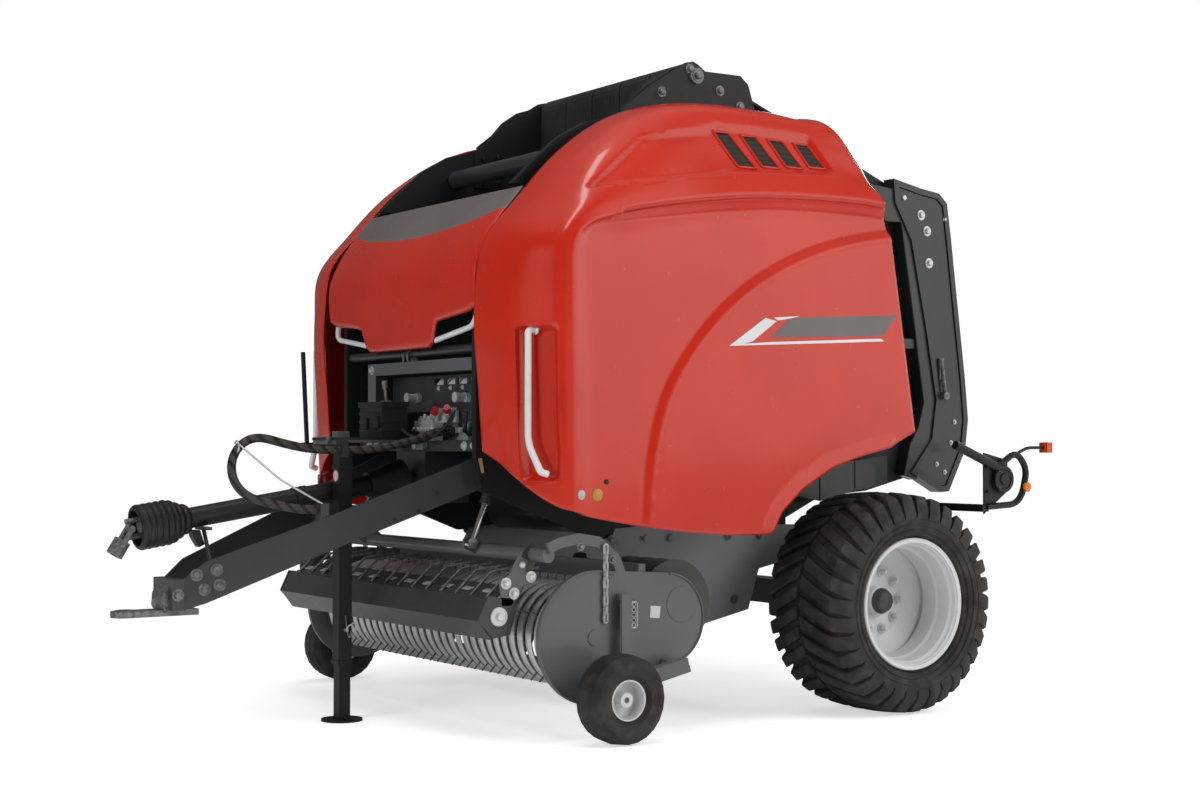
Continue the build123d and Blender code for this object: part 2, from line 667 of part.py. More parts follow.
def pickup_frame():
    """Side plates, rear beams, swing arms and the tube that carries the wind guard."""
    disc = Plane.YZ * Pos(*REEL_AXIS) * Circle(DISC_RADIUS)
    lobe = Plane.YZ * Pos(-1200, 480) * Circle(200)
    web = side_sketch([(-1550, 700), (-1200, 680), (-1200, 280), (-1550, 150)])
    side = Pos(PICKUP_SIDE_INNER, 0, 0) * extrude(disc + lobe + web, PICKUP_SIDE, dir=(1, 0, 0))
    side -= bar_x(REEL_AXIS, 25 + RUNNING_FIT, PICKUP_SIDE_INNER - 1, PICKUP_SIDE_INNER + 20)
    side -= bar_x(ROTOR_AXIS, 70, PICKUP_SIDE_INNER - 1, PICKUP_SIDE_INNER + 20)
    arm_route = [(-1440, 640), (-1480, 735), (-1560, 800), (-1650, 815), (-1740, 800), (-1790, 780)]
    horn = strip(arm_route, -45, PICKUP_SIDE_INNER, PICKUP_SIDE_INNER + PICKUP_SIDE)
    tube = bar_x(GUARD_TUBE, GUARD_TUBE_RADIUS, -PICKUP_SIDE_INNER, PICKUP_SIDE_INNER)
    swing_from = WALL_OUTER + CHASSIS_PLATE + 6
    swing = plate([(-1335, 633), (-1335, 700), (-1120, 640), (-1020, 560), (-1020, 500),
                   (-1120, 440), (-1290, 180), (-1330, 180), (-1295, 260), (-1295, 600)],
                  swing_from, swing_from + 20)
    swing -= bar_x(ROTOR_AXIS, 70 + RUNNING_FIT, swing_from - 1, swing_from + 21)
    top_beam = block(-PICKUP_SIDE_INNER, PICKUP_SIDE_INNER, -1335, -1300, 625, 720)
    low_beam = block(-PICKUP_SIDE_INNER, PICKUP_SIDE_INNER, -1335, -1290, 180, 220)
    lug_to = LIFT_CYLINDER_X - 20
    lug = plate([(-1875, 780), (-1875, 820), (-1790, 815), (-1760, 770), (-1790, 740)],
                lug_to - 12, lug_to)
    face = PICKUP_SIDE_INNER + PICKUP_SIDE
    screen = block(face + 18, face + 24, -1455, -1368, 452, 566)
    for row in range(5):
        for column in range(3):
            screen -= bar_x((-1434 + column * 23, 465 + row * 22), 7, face + 17, face + 25)
    screen += block(face, face + 18, -1386, -1372, 480, 540)
    return both_sides(side + horn + swing + lug + screen + chain()) + tube + top_beam + low_beam


def pickup_bands():
    """Bright stripper bands over the reel, held by the pick-up's rear beams."""
    y, z = REEL_AXIS
    outer = Pos(y, z) * Circle(BAND_RADIUS)
    outer += Pos((y - 1335) / 2, z) * Rectangle(-1335 - y, 2 * BAND_RADIUS)
    inner = Pos(y, z) * Circle(BAND_RADIUS - BAND)
    inner += Pos((y - 1325) / 2, z) * Rectangle(-1325 - y, 2 * (BAND_RADIUS - BAND))
    section = Plane.YZ * (outer - inner)
    bands = Part()
    pitch = 2 * REEL_HALF / BAND_COUNT
    for index in range(BAND_COUNT):
        middle = (index - (BAND_COUNT - 1) / 2) * pitch
        bands += Pos(middle - BAND_WIDTH / 2, 0, 0) * extrude(section, BAND_WIDTH, dir=(1, 0, 0))
    return bands


def reel():
    """Tine reel: shaft, end discs, tine bars and tines between the bands."""
    body = bar_x(REEL_AXIS, 45, -REEL_HALF, REEL_HALF)
    body += bar_x(REEL_AXIS, 25, -PICKUP_SIDE_INNER - PICKUP_SIDE, PICKUP_SIDE_INNER + PICKUP_SIDE)
    for x in (-REEL_HALF - 10, -340, 340, REEL_HALF):
        body += bar_x(REEL_AXIS, 185, x, x + 10)
    pitch = 2 * REEL_HALF / BAND_COUNT
    for row in range(TINE_ROWS):
        turn = radians(360 * row / TINE_ROWS + 10)
        seat = (REEL_AXIS[0] + 170 * cos(turn), REEL_AXIS[1] + 170 * sin(turn))
        tip = (REEL_AXIS[0] + REEL_RADIUS * cos(turn), REEL_AXIS[1] + REEL_RADIUS * sin(turn))
        body += bar_x(seat, 14, -REEL_HALF, REEL_HALF)
        tines = [rod((index * pitch, *seat), (index * pitch, *tip), TINE / 2)
                 for index in range(-BAND_COUNT // 2 + 1, BAND_COUNT // 2)]
        body = body + tines
    return body


def wind_guard():
    """Folded front beam, end plates, hangers on the tube and comb rods."""
    ends = plate([(-2017, 604), (-2063, 508), (-1993, 430), (-1911, 441), (-1883, 535),
                  (-1897, 591)], GUARD_HALF - 8, GUARD_HALF)
    ends -= bar_x(GUARD_ROLLER, 14 + RUNNING_FIT, GUARD_HALF - 9, GUARD_HALF + 1)
    hanger = plate([(-1905, 560), (-1905, 600), (-1830, 790), (-1790, 815), (-1745, 770),
                    (-1790, 725), (-1883, 560)], GUARD_HALF - 24, GUARD_HALF - 8)
    hanger -= bar_x(GUARD_TUBE, GUARD_TUBE_RADIUS + RUNNING_FIT, GUARD_HALF - 25, GUARD_HALF - 7)
    front = strip([(-1997, 424), (-2060, 505), (-2017, 597), (-1975, 600)], -8,
                  -GUARD_HALF + 8, GUARD_HALF - 8)
    guard = front + both_sides(ends + hanger)
    pitch = 2 * (GUARD_HALF - 60) / (GUARD_ROD_COUNT - 1)
    radius = GUARD_ROD / 2
    for index in range(GUARD_ROD_COUNT):
        x = -GUARD_HALF + 60 + index * pitch
        guard += rod((x, -1990, 596), (x, -1890, 690), radius)
        guard += rod((x, -1890, 690), (x, -1735, 712), radius)
    return guard


def guard_roller():
    roller = bar_x(GUARD_ROLLER, GUARD_ROLLER_RADIUS, -GUARD_HALF + 30, GUARD_HALF - 30)
    return roller + bar_x(GUARD_ROLLER, 14, -GUARD_HALF, GUARD_HALF)


def feed_rotor():
    """Rotor between the walls with a feed auger outside each, on one shaft."""
    rotor = bar_x(ROTOR_AXIS, SPINDLE_RADIUS, -PICKUP_SIDE_INNER + 8, PICKUP_SIDE_INNER - 8)
    rotor += bar_x(ROTOR_AXIS, 85, -WALL_INNER + 10, WALL_INNER - 10)
    for index in range(-5, 6):
        turn = radians(30 * index)
        star = Plane.YZ * Pos(*ROTOR_AXIS) * Rot(0, 0, degrees(turn)) * RectangleRounded(
            2 * ROTOR_RADIUS - 10, 70, 20)
        rotor += Pos(index * 100 - 6, 0, 0) * extrude(star, 12, dir=(1, 0, 0))
    auger_from = WALL_OUTER + CHASSIS_PLATE + 60
    for x in (auger_from, auger_from + 110, auger_from + 220, auger_from + 330):
        flight = bar_x(ROTOR_AXIS, ROTOR_RADIUS, x, x + 10)
        rotor += both_sides(flight)
    rotor += both_sides(bar_x(ROTOR_AXIS, 70, auger_from, auger_from + 340))
    return rotor


def gauge_arms():
    """Square arms from the pick-up's sides to the gauge wheels' pins."""
    y = GAUGE_Y
    x_from, x_to = PICKUP_SIDE_INNER + PICKUP_SIDE + 50, PICKUP_SIDE_INNER + PICKUP_SIDE + 100
    arm = plate([(y - 40, 160), (y - 40, 220), (-1160, 320), (-1140, 260)], x_from, x_to)
    arm += block(PICKUP_SIDE_INNER + PICKUP_SIDE, x_from, -1230, -1170, 275, 310)
    arm += plate([(-1465, 200), (-1415, 210), (-1415, 600), (-1465, 600)], x_from - 10, x_from)
    arm += block(PICKUP_SIDE_INNER + PICKUP_SIDE, x_from - 10, -1460, -1420, 574, 600)
    arm += bar_x((y, GAUGE_RADIUS), GAUGE_PIN_RADIUS, x_to, GAUGE_X + 40)
    return both_sides(arm)


def gauge_wheels():
    ring = tyre(GAUGE_RADIUS, GAUGE_WIDTH, GAUGE_RIM_RADIUS + FACE_GAP, 62, 18, GAUGE_FLATS)
    inner = GAUGE_RIM_RADIUS - 6
    rim = ring_x([(-60, inner), (-60, GAUGE_RIM_RADIUS), (60, GAUGE_RIM_RADIUS), (60, inner)])
    rim += ring_x([(-10, GAUGE_PIN_RADIUS + RUNNING_FIT), (-10, inner + 1), (-2, inner + 1),
                   (-2, GAUGE_PIN_RADIUS + RUNNING_FIT)])
    rim += ring_x([(-55, GAUGE_PIN_RADIUS + RUNNING_FIT), (-55, 30), (45, 30),
                   (45, GAUGE_PIN_RADIUS + RUNNING_FIT)])
    place = Pos(GAUGE_X, GAUGE_Y, GAUGE_RADIUS)
    put("gauge_tyre_left", place * ring)
    put("gauge_rim_left", place * rim)
    put("gauge_tyre_right", mirror(place * ring, about=Plane.YZ))
    put("gauge_rim_right", mirror(place * rim, about=Plane.YZ))


# Drawbar, hitch, jack and drive shaft

DRAWBAR_OUTLINE = [
    (-1590, 1190), (-1750, 1190), (-2359, 939), (-2900, 735), (-2990, 663), (-2990, 532),
    (-2900, 560), (-2358, 790), (-1777, 1030), (-1590, 1050),
]


def drawbar():
    """Two plates that converge from the rear beam to the nose, with cross plates."""
    outline = plate(DRAWBAR_OUTLINE, 0, WALL_INNER)
    slab = Plane.XY * Polygon(
        (DRAWBAR_REAR_HALF, DRAWBAR_REAR_Y + 10), (DRAWBAR_FRONT_HALF, DRAWBAR_FRONT_Y),
        (DRAWBAR_FRONT_HALF - DRAWBAR_PLATE, DRAWBAR_FRONT_Y),
        (DRAWBAR_REAR_HALF - DRAWBAR_PLATE, DRAWBAR_REAR_Y + 10), align=None)
    side = outline & extrude(slab, 1500, dir=(0, 0, 1))
    rear = block(-WALL_INNER, WALL_INNER, DRAWBAR_REAR_Y, -1480, 1050, 1185)
    nose = block(-DRAWBAR_FRONT_HALF, DRAWBAR_FRONT_HALF, -3040, -2980, 532, 663)
    half = JACK_SLEEVE / 2
    cross = block(-352, 352, JACK_Y + half, JACK_Y + half + 12, 860, 960)
    return both_sides(side) + rear + nose + cross + hose_clamp()


def hitch_eye():
    """Flat towing eye under the nose."""
    tip = -HITCH_REACH + EYE_OUTER
    top = EYE_BOTTOM + EYE_THICK + 1
    tongue = block(-55, 55, tip, -2900, EYE_BOTTOM, top)
    eye = rod((0, tip, EYE_BOTTOM), (0, tip, top), EYE_OUTER)
    hole = rod((0, tip, EYE_BOTTOM - 1), (0, tip, top + 1), EYE_RADIUS)
    return tongue + eye - hole


def square_tube(x, y, size, wall, z_from, z_to):
    half, inner = size / 2, size / 2 - wall
    outer = block(x - half, x + half, y - half, y + half, z_from, z_to)
    return outer - block(x - inner, x + inner, y - inner, y + inner, z_from - 1, z_to - 12)


def jack_sleeve():
    return square_tube(JACK_X, JACK_Y, JACK_SLEEVE, JACK_SLEEVE_WALL, 250, 1183)


def jack_leg():
    half = JACK_LEG / 2
    leg = block(JACK_X - half, JACK_X + half, JACK_Y - half, JACK_Y + half, JACK_FOOT, 720)
    return leg + rod((JACK_X, JACK_Y, 0), (JACK_X, JACK_Y, JACK_FOOT), JACK_FOOT_RADIUS)


def shaft_point(share):
    """A point on the drive shaft's line, from 0 at its rear to 1 at its front joint."""
    y = SHAFT_REAR[0] + share * (SHAFT_FRONT[0] - SHAFT_REAR[0])
    z = SHAFT_REAR[1] + share * (SHAFT_FRONT[1] - SHAFT_REAR[1])
    return (SHAFT_X, y, z)


def cone(share_from, share_to, radius_from, radius_to):
    start, end = Vector(*shaft_point(share_from)), Vector(*shaft_point(share_to))
    plane = Plane(origin=start, z_dir=end - start)
    far = Plane(origin=end, z_dir=end - start)
    return loft([plane * Circle(radius_from), far * Circle(radius_to)])


def shaft_guard():
    """Plastic tube and bell ends over the drive shaft."""
    outer = rod(shaft_point(0.06), shaft_point(0.9), GUARD_TUBE_OUT)
    outer += cone(0.84, 0.93, 56, 92) + cone(0.93, 1.02, 92, 86)
    outer += cone(0.16, 0.02, 56, 90)
    for share in BELL_RIBS:
        outer += cone(share, share + 0.007, 97, 97)
    outer -= rod(shaft_point(-0.1), shaft_point(1.1), GUARD_TUBE_OUT - GUARD_TUBE_WALL)
    outer -= cone(0.87, 1.03, 62, 80)
    outer -= cone(0.13, 0.01, 62, 80)
    return outer


def drive_shaft():
    """Telescopic shaft in its guard, with the fork and cross of its front joint."""
    body = rod(shaft_point(0), shaft_point(1.0), SHAFT_RADIUS)
    for share in (0.2, 0.8):
        body += rod(shaft_point(share), shaft_point(share + 0.02),
                    GUARD_TUBE_OUT - GUARD_TUBE_WALL - RUNNING_FIT)
    root, centre = Vector(*shaft_point(1.0)), Vector(*shaft_point(1.04))
    ahead = (centre - root).normalized()
    up = Vector(0, -ahead.Z, ahead.Y)
    body += rod(shaft_point(0.994), shaft_point(1.002), 46)
    for side in (-1, 1):
        body += rod(tuple(root + up * side * 34), tuple(centre + up * side * 34 + ahead * 14), 12)
    body += rod(tuple(centre - up * 34), tuple(centre + up * 34), 10)
    return body + bar_x((centre.Y, centre.Z), 10, SHAFT_X - 44, SHAFT_X + 44)


def shaft_yoke():
    """Front yoke of the universal joint, drooping on its cross."""
    centre = Vector(*shaft_point(1.04))
    droop = Vector(0, -cos(radians(58)), -sin(radians(58)))
    yoke = rod(tuple(centre + droop * 56), tuple(centre + droop * 126), 36)
    for side in (-1, 1):
        ear = centre + Vector(side * 34, 0, 0)
        yoke += rod(tuple(ear - droop * 14), tuple(ear + droop * 72), 12)
    yoke -= bar_x((centre.Y, centre.Z), 10 + RUNNING_FIT, SHAFT_X - 60, SHAFT_X + 60)
    return yoke - rod(tuple(centre + droop * 70), tuple(centre + droop * 130), YOKE_BORE_RADIUS)


def gearbox():
    y, z = SHAFT_REAR
    box = block(SHAFT_X - 140, SHAFT_X + 140, y + 20, DRAWBAR_REAR_Y, 960, 1200)
    return box + rod(shaft_point(-0.02), shaft_point(-0.0005), 34)


def shaft_holder():
    """Bent strap from the drawbar's left plate up to a fork under the shaft."""
    x, y, z = shaft_point(0.78)
    fork = block(x - 60, x + 60, y - 15, y + 15, z - 62, z - 48.2)
    post = rod((x, y, z - 60), (40, y, 720), 9) + Pos(40, y, 720) * Sphere(9)
    slope = (DRAWBAR_REAR_HALF - DRAWBAR_FRONT_HALF) / (DRAWBAR_REAR_Y + 10 - DRAWBAR_FRONT_Y)
    seat = DRAWBAR_FRONT_HALF - DRAWBAR_PLATE + (y - 9 - DRAWBAR_FRONT_Y) * slope - FACE_GAP
    post += rod((40, y, 720), (seat, y, 720), 9)
    return fork + post


def console():
    """Control box on a shelf over the jack's column."""
    x, y, z = HOSE_GUIDE
    post = block(JACK_X - 30, JACK_X + 30, JACK_Y - 30, JACK_Y + 30, 1183, 1250)
    shelf = block(-130, x - 20, y, -1880, 1250, 1262)
    box = block(-110, 110, -2060, -1930, 1262, 1420)
    guide = block(x - 32, x + 32, y, y + 30, z - 32, 1262)
    guide -= rod((x, y - 1, z), (x, y + 31, z), HOSE_RADIUS + FACE_GAP)
    return post + shelf + box + guide


def valve_block():
    return block(150, 330, -1740, -1620, 1250, 1330)


def stay_rod():
    """Upright prop rod on the right of the front frame."""
    x = -600
    foot = block(-WALL_OUTER, x + 12, -2108, -1880, 1215, 1240)
    return rod((x, -2095, 1230), (x, -2118, 1674), 11) + foot


def cord_path(points):
    """Straight runs joined by the largest even arcs that the runs allow."""
    vectors = [Vector(*point) for point in points]
    radii = []
    for before, here, after in zip(vectors, vectors[1:], vectors[2:]):
        into, out = here - before, after - here
        turn = radians(into.get_angle(out))
        radii.append(0.45 * min(into.length, out.length) / tan(turn / 2))
    print("cord radii", [round(radius) for radius in radii])
    return FilletPolyline(*vectors, radius=radii)


def tube_along(points, radius):
    path = cord_path(points)
    start = Plane(origin=path @ 0, z_dir=path % 0)
    tube = sweep(start * Circle(radius), path=path)
    print("tube volume share", round(tube.volume / (pi * radius ** 2 * path.length), 4))
    return tube


HOSE_LOOP = [
    # x, y, z from the guide beside the shelf to the clamp on the drawbar
    HOSE_GUIDE, (150, -2410, 1206), (158, -2550, 1232), (170, -2680, 1266), (180, -2765, 1238),
    (188, -2815, 1163), (196, -2809, 1077), (206, -2754, 1011), (220, -2672, 985),
    (236, -2592, 966), (250, -2515, 950), HOSE_CLAMP,
]
HOSE_RUN = [
    # x, y, z from the valves to the guide
    (235, -1740 - FACE_GAP, 1292), (235, -1800, 1292), (222, -1880, 1276), (195, -1985, 1238),
    (165, -2110, 1212), (150, -2200, 1206), HOSE_GUIDE,
]


def hose_clamp():
    """Saddle on the drawbar's left plate that takes the hose loop's end."""
    x, y, z = HOSE_CLAMP
    return block(x - 26, x + 30, y + FACE_GAP, y + 40, z - 60, z + 26)


def on_line(start, end, distance):
    """The (y, z) point at a distance from start towards end."""
    length = hypot(end[0] - start[0], end[1] - start[1])
    share = distance / length
    return (start[0] + (end[0] - start[0]) * share, start[1] + (end[1] - start[1]) * share)


def cylinder(base, eye, x, barrel_radius, rod_radius, barrel_length, rod_start, pin_radius,
             inward):
    """Barrel and rod of a hydraulic cylinder; the rod's eye carries its own stub pin."""
    bottom = (x, *on_line(base, eye, barrel_radius + 14))
    mouth = (x, *on_line(base, eye, barrel_length))
    floor = (x, *on_line(base, eye, barrel_radius + 40))
    gland = (x, *on_line(base, eye, barrel_length - 30))
    barrel = rod(bottom, mouth, barrel_radius) + rod((x, *base), bottom, 15)
    barrel += bar_x(base, pin_radius + 14, x - 15, x + 15)
    barrel -= rod(floor, gland, rod_radius + 8)
    barrel -= rod(floor, mouth, rod_radius + RUNNING_FIT)
    barrel -= bar_x(base, pin_radius + RUNNING_FIT, x - barrel_radius - 1, x + barrel_radius + 1)
    shoulder = (x, *on_line(eye, base, rod_radius + 20))
    piston = rod((x, *on_line(base, eye, rod_start)), shoulder, rod_radius)
    piston += rod(shoulder, (x, *eye), 12)
    piston += bar_x(eye, pin_radius + 12, x - 15, x + 15)
    piston += bar_x(eye, pin_radius, x - inward, x + 18)
    return barrel, piston


def gate_cylinder():
    """Tailgate cylinder outside the left wall."""
    return cylinder(GATE_BASE, GATE_EYE, GATE_CYLINDER_X, GATE_BARREL_RADIUS, GATE_ROD_RADIUS,
                    GATE_BARREL_LENGTH, GATE_ROD_START, GATE_PIN_RADIUS, 16 - EYE_PLAY)


def lift_cylinder():
    """Pick-up lift cylinder inside the left wall."""
    return cylinder(LIFT_TOP, LIFT_EYE, LIFT_CYLINDER_X, LIFT_BARREL_RADIUS, LIFT_ROD_RADIUS,
                    LIFT_BARREL_LENGTH, LIFT_ROD_START, LIFT_PIN_RADIUS, 20 - EYE_PLAY)


def lamp_carriers():
    """Rear light boards on arms from the axle, behind the wheels."""
    board = plate([(722, 890), (895, 1006), (883, 1154), (722, 1190)], 1085, 1095)
    inner = WALL_OUTER + CHASSIS_PLATE
    arm = block(inner, 1085, 690, 740, 900, 940)
    stay = block(inner, inner + 45, 20, 740, 640, 680)
    stay += block(inner, inner + 45, 690, 740, 680, 940)
    hoop = strip([(540, 1210), (967, 1200), (1010, 1120), (960, 925), (740, 930)], 30, 1095, 1125)
    stem = block(1098, 1112, 960, REAR_REACH - 40, 1208, 1222)
    return both_sides(board + arm + stay + hoop + stem)


def rear_lamps():
    lamp = bar_x((840, 1060), 60, 1095, 1110)
    marker = block(1080, 1130, REAR_REACH - 40, REAR_REACH, 1190, 1240)
    return both_sides(lamp) + both_sides(marker)


def build():
    main_wheels()
    gauge_wheels()
    put("axle", axle())
    put("side_walls", side_walls())
    put("chassis", chassis())
    put("top_arms", top_arms())
    put("fixed_rollers", fixed_rollers())
    put("belts", belts())
    put("door_hinges", door_hinges())
    put("front_frame", front_frame())
    put("tailgate_walls", tailgate_walls())
    put("tailgate_frame", tailgate_frame())
    put("tailgate_rollers", tailgate_rollers())
    put("tailgate_belts", tailgate_belts())
    left_cover = cover()
    put("cover_left", left_cover)
    put("cover_right", mirror(left_cover, about=Plane.YZ))
    handle = door_handle()
    put("door_handle_left", handle)
    put("door_handle_right", mirror(handle, about=Plane.YZ))
    put("hood", hood())
    put("hood_handles", hood_handles())
    put("pickup_frame", pickup_frame())
    put("pickup_bands", pickup_bands())
    put("gauge_arms", gauge_arms())
    put("pickup_reel", reel())
    put("wind_guard", wind_guard())
    put("guard_roller", guard_roller())
    put("feed_rotor", feed_rotor())
    put("drawbar", drawbar())
    put("hitch_eye", hitch_eye())
    put("jack_sleeve", jack_sleeve())
    put("jack_leg", jack_leg())
    put("shaft_guard", shaft_guard())
    put("drive_shaft", drive_shaft())
    put("shaft_yoke", shaft_yoke())
    put("gearbox", gearbox())
    put("shaft_holder", shaft_holder())
    put("console", console())
    put("valve_block", valve_block())
    put("stay_rod", stay_rod())
    for name, (barrel, piston) in (("gate", gate_cylinder()), ("lift", lift_cylinder())):
        put(f"{name}_barrel_left", barrel)
        put(f"{name}_rod_left", piston)
        put(f"{name}_barrel_right", mirror(barrel, about=Plane.YZ))
        put(f"{name}_rod_right", mirror(piston, about=Plane.YZ))
    put("hose_loop", tube_along(HOSE_LOOP, HOSE_RADIUS))
    put("hose_run", tube_along(HOSE_RUN, HOSE_RADIUS))
    put("lamp_carriers", lamp_carriers())
    put("rear_lamps", rear_lamps())


build()
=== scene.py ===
import math

import bmesh
import bpy
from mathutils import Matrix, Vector
from mathutils.bvhtree import BVHTree


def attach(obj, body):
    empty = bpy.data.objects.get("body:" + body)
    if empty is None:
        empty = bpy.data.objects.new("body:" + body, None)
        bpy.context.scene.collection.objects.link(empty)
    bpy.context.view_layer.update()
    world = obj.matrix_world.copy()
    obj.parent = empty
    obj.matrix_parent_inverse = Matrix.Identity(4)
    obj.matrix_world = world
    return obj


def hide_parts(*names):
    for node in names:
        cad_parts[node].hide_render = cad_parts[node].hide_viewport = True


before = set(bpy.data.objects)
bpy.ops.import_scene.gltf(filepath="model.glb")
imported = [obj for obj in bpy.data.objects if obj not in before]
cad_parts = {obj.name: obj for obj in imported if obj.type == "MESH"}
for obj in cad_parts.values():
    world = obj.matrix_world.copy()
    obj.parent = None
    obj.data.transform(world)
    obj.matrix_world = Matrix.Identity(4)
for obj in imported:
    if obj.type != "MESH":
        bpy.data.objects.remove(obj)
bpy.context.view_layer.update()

# Every shape below is drawn in millimetres from the main axle's line on the ground:
# x to the machine's left, y to its rear, z up. toFrame moves a point into the frame, in metres.
axleStation = 1050.0


def toFrame(point):
    x, y, z = point
    return Vector((x / 1000, (y + axleStation) / 1000, z / 1000))


# Camera at the photograph's place: a long lens low in front of the left front corner
camera = {
    "place": (7629.3, -5935.0, 1232.5),
    "turn": 56.076,      # degrees from looking straight to the rear
    "tilt": 1.35,        # degrees upwards
    "lens": 56.05,       # mm on a 36 mm sensor
}


def addCamera():
    lens = bpy.data.cameras.new("photoLens")
    lens.lens = camera["lens"]
    lens.sensor_width = 36
    lens.clip_end = 100
    eye = bpy.data.objects.new("photoCamera", lens)
    eye.location = toFrame(camera["place"])
    eye.rotation_euler = (math.radians(90 + camera["tilt"]), 0, math.radians(camera["turn"]))
    bpy.context.scene.collection.objects.link(eye)
    bpy.context.scene.camera = eye


addCamera()
print("stage: camera")


# Materials

def linear(text):
    parts = [int(text[i:i + 2], 16) / 255 for i in (1, 3, 5)]
    return [c / 12.92 if c <= 0.04045 else ((c + 0.055) / 1.055) ** 2.4 for c in parts] + [1]


def addNode(tree, kind, values=None, links=None):
    node = tree.nodes.new(kind)
    for key, value in (values or {}).items():
        if isinstance(key, int) or key in node.inputs:
            node.inputs[key].default_value = value
        else:
            setattr(node, key, value)
    for key, source in (links or {}).items():
        tree.links.new(source, node.inputs[key])
    return node


def newMaterial(name, constants):
    material = bpy.data.materials.new(name)
    material.use_nodes = True
    tree = material.node_tree
    shader = tree.nodes["Principled BSDF"]
    for socket, value in constants.items():
        shader.inputs[socket].default_value = value
    return material, tree, shader


def feed(tree, shader, sources):
    for socket, source in sources.items():
        tree.links.new(source, shader.inputs[socket])


def placeIn(tree):
    # metres of the machine itself, so a pattern's scale is one over its grain's size
    return addNode(tree, "ShaderNodeTexCoord").outputs["Object"]


def mottle(tree, scale, detail=3.0):
    noise = addNode(tree, "ShaderNodeTexNoise", {"Scale": scale, "Detail": detail},
                    {"Vector": placeIn(tree)})
    return noise.outputs["Fac"]


def twoTone(tree, source, first, second, low=0.35, high=0.65):
    ramp = addNode(tree, "ShaderNodeValToRGB", links={"Fac": source})
    for element, position, tone in zip(ramp.color_ramp.elements, (low, high), (first, second)):
        element.position = position
        element.color = linear(tone)
    return ramp.outputs["Color"]


def spread(tree, source, low, high, fromLow=0.0, fromHigh=1.0):
    node = addNode(tree, "ShaderNodeMapRange",
                   {"From Min": fromLow, "From Max": fromHigh, "To Min": low, "To Max": high},
                   {"Value": source})
    return node.outputs["Result"]


def bumps(tree, shader, source, depth, strength=1.0):
    node = addNode(tree, "ShaderNodeBump", {"Distance": depth, "Strength": strength},
                   {"Height": source})
    feed(tree, shader, {"Normal": node.outputs["Normal"]})


def mixColour(tree, amount, first, secondHex):
    node = tree.nodes.new("ShaderNodeMix")
    node.data_type = "RGBA"
    tree.links.new(amount, node.inputs[0])
    tree.links.new(first, node.inputs[6])
    node.inputs[7].default_value = linear(secondHex)
    return node.outputs[2]


def enamel(name, light, dark, roughness, coat, dusty=0.0):
    # sprayed two-pack enamel: slight orange peel, drawn 30 mm across so that it shows,
    # and a little road film on the lowest metre
    material, tree, shader = newMaterial(name, {"IOR": 1.5, "Coat Weight": coat,
                                                "Coat Roughness": 0.08})
    tone = twoTone(tree, mottle(tree, 1.7), dark, light)
    if dusty:
        height = addNode(tree, "ShaderNodeSeparateXYZ", links={"Vector": placeIn(tree)})
        low = spread(tree, height.outputs["Z"], 0.0, dusty, 1.0, 0.1)
        patches = addNode(tree, "ShaderNodeMath", {"operation": "MULTIPLY"},
                          {0: low, 1: mottle(tree, 9, 6)})
        tone = mixColour(tree, patches.outputs["Value"], tone, "#7d766a")
    gloss = spread(tree, mottle(tree, 14, 4), roughness - 0.05, roughness + 0.07)
    feed(tree, shader, {"Base Color": tone, "Roughness": gloss})
    bumps(tree, shader, mottle(tree, 33, 1), 0.0006, 0.25)
    return material


def bareSteel(name, light, dark, roughness, grain, depth=0.0, oxide=0.0):
    # metal with a crystal or drawn grain; a metal keeps the default IOR, and where a dull oxide
    # film covers it the surface is no longer metallic
    material, tree, shader = newMaterial(name, {"Metallic": 1.0})
    cells = addNode(tree, "ShaderNodeTexVoronoi", {"Scale": grain}, {"Vector": placeIn(tree)})
    grey = addNode(tree, "ShaderNodeRGBToBW", links={"Color": cells.outputs["Color"]})
    feed(tree, shader, {
        "Base Color": twoTone(tree, grey.outputs["Val"], dark, light, 0.1, 0.9),
        "Roughness": spread(tree, mottle(tree, 21, 4), roughness - 0.08, roughness + 0.1)})
    if oxide:
        feed(tree, shader, {"Metallic": spread(tree, mottle(tree, 17, 5), 1.15 - oxide,
                                               0.85 - oxide)})
    if depth:
        bumps(tree, shader, mottle(tree, 60, 3), depth, 0.5)
    return material


def softBlack(name, light, dark, roughness, grain, depth):
    # rubber or moulded plastic: matt, with a fine grain that catches grazing light
    material, tree, shader = newMaterial(name, {"IOR": 1.52})
    feed(tree, shader, {
        "Base Color": twoTone(tree, mottle(tree, 6, 5), dark, light),
        "Roughness": spread(tree, mottle(tree, 11, 4), roughness - 0.08, roughness + 0.08)})
    bumps(tree, shader, mottle(tree, grain, 4), depth, 0.6)
    return material


def ventMesh(name):
    # pressed steel mesh behind the vents, real holes 3 mm, drawn 9 mm so that they show
    material, tree, shader = newMaterial(name, {"Roughness": 0.6})
    holes = addNode(tree, "ShaderNodeTexVoronoi", {"Scale": 110.0, "Randomness": 0.0},
                    {"Vector": placeIn(tree)})
    # the holes are painted near black: painted shade of the dark inside seen through them
    tone = twoTone(tree, holes.outputs["Distance"], "#070606", "#2f2c29", 0.35, 0.5)
    feed(tree, shader, {"Base Color": tone})
    return material


def spiralWrap(name):
    # flat plastic spiral round the hoses: bands about 35 mm apart with dark joints
    material, tree, shader = newMaterial(name, {"Roughness": 0.45, "IOR": 1.5})
    bands = addNode(tree, "ShaderNodeTexWave",
                    {"Scale": 10.5, "bands_direction": "DIAGONAL", "Distortion": 1.0,
                     "Detail": 1.0}, {"Vector": placeIn(tree)})
    tone = twoTone(tree, bands.outputs["Fac"], "#0b0b0b", "#3a3836", 0.1, 0.5)
    feed(tree, shader, {"Base Color": tone})
    bumps(tree, shader, bands.outputs["Fac"], 0.003, 0.9)
    return material


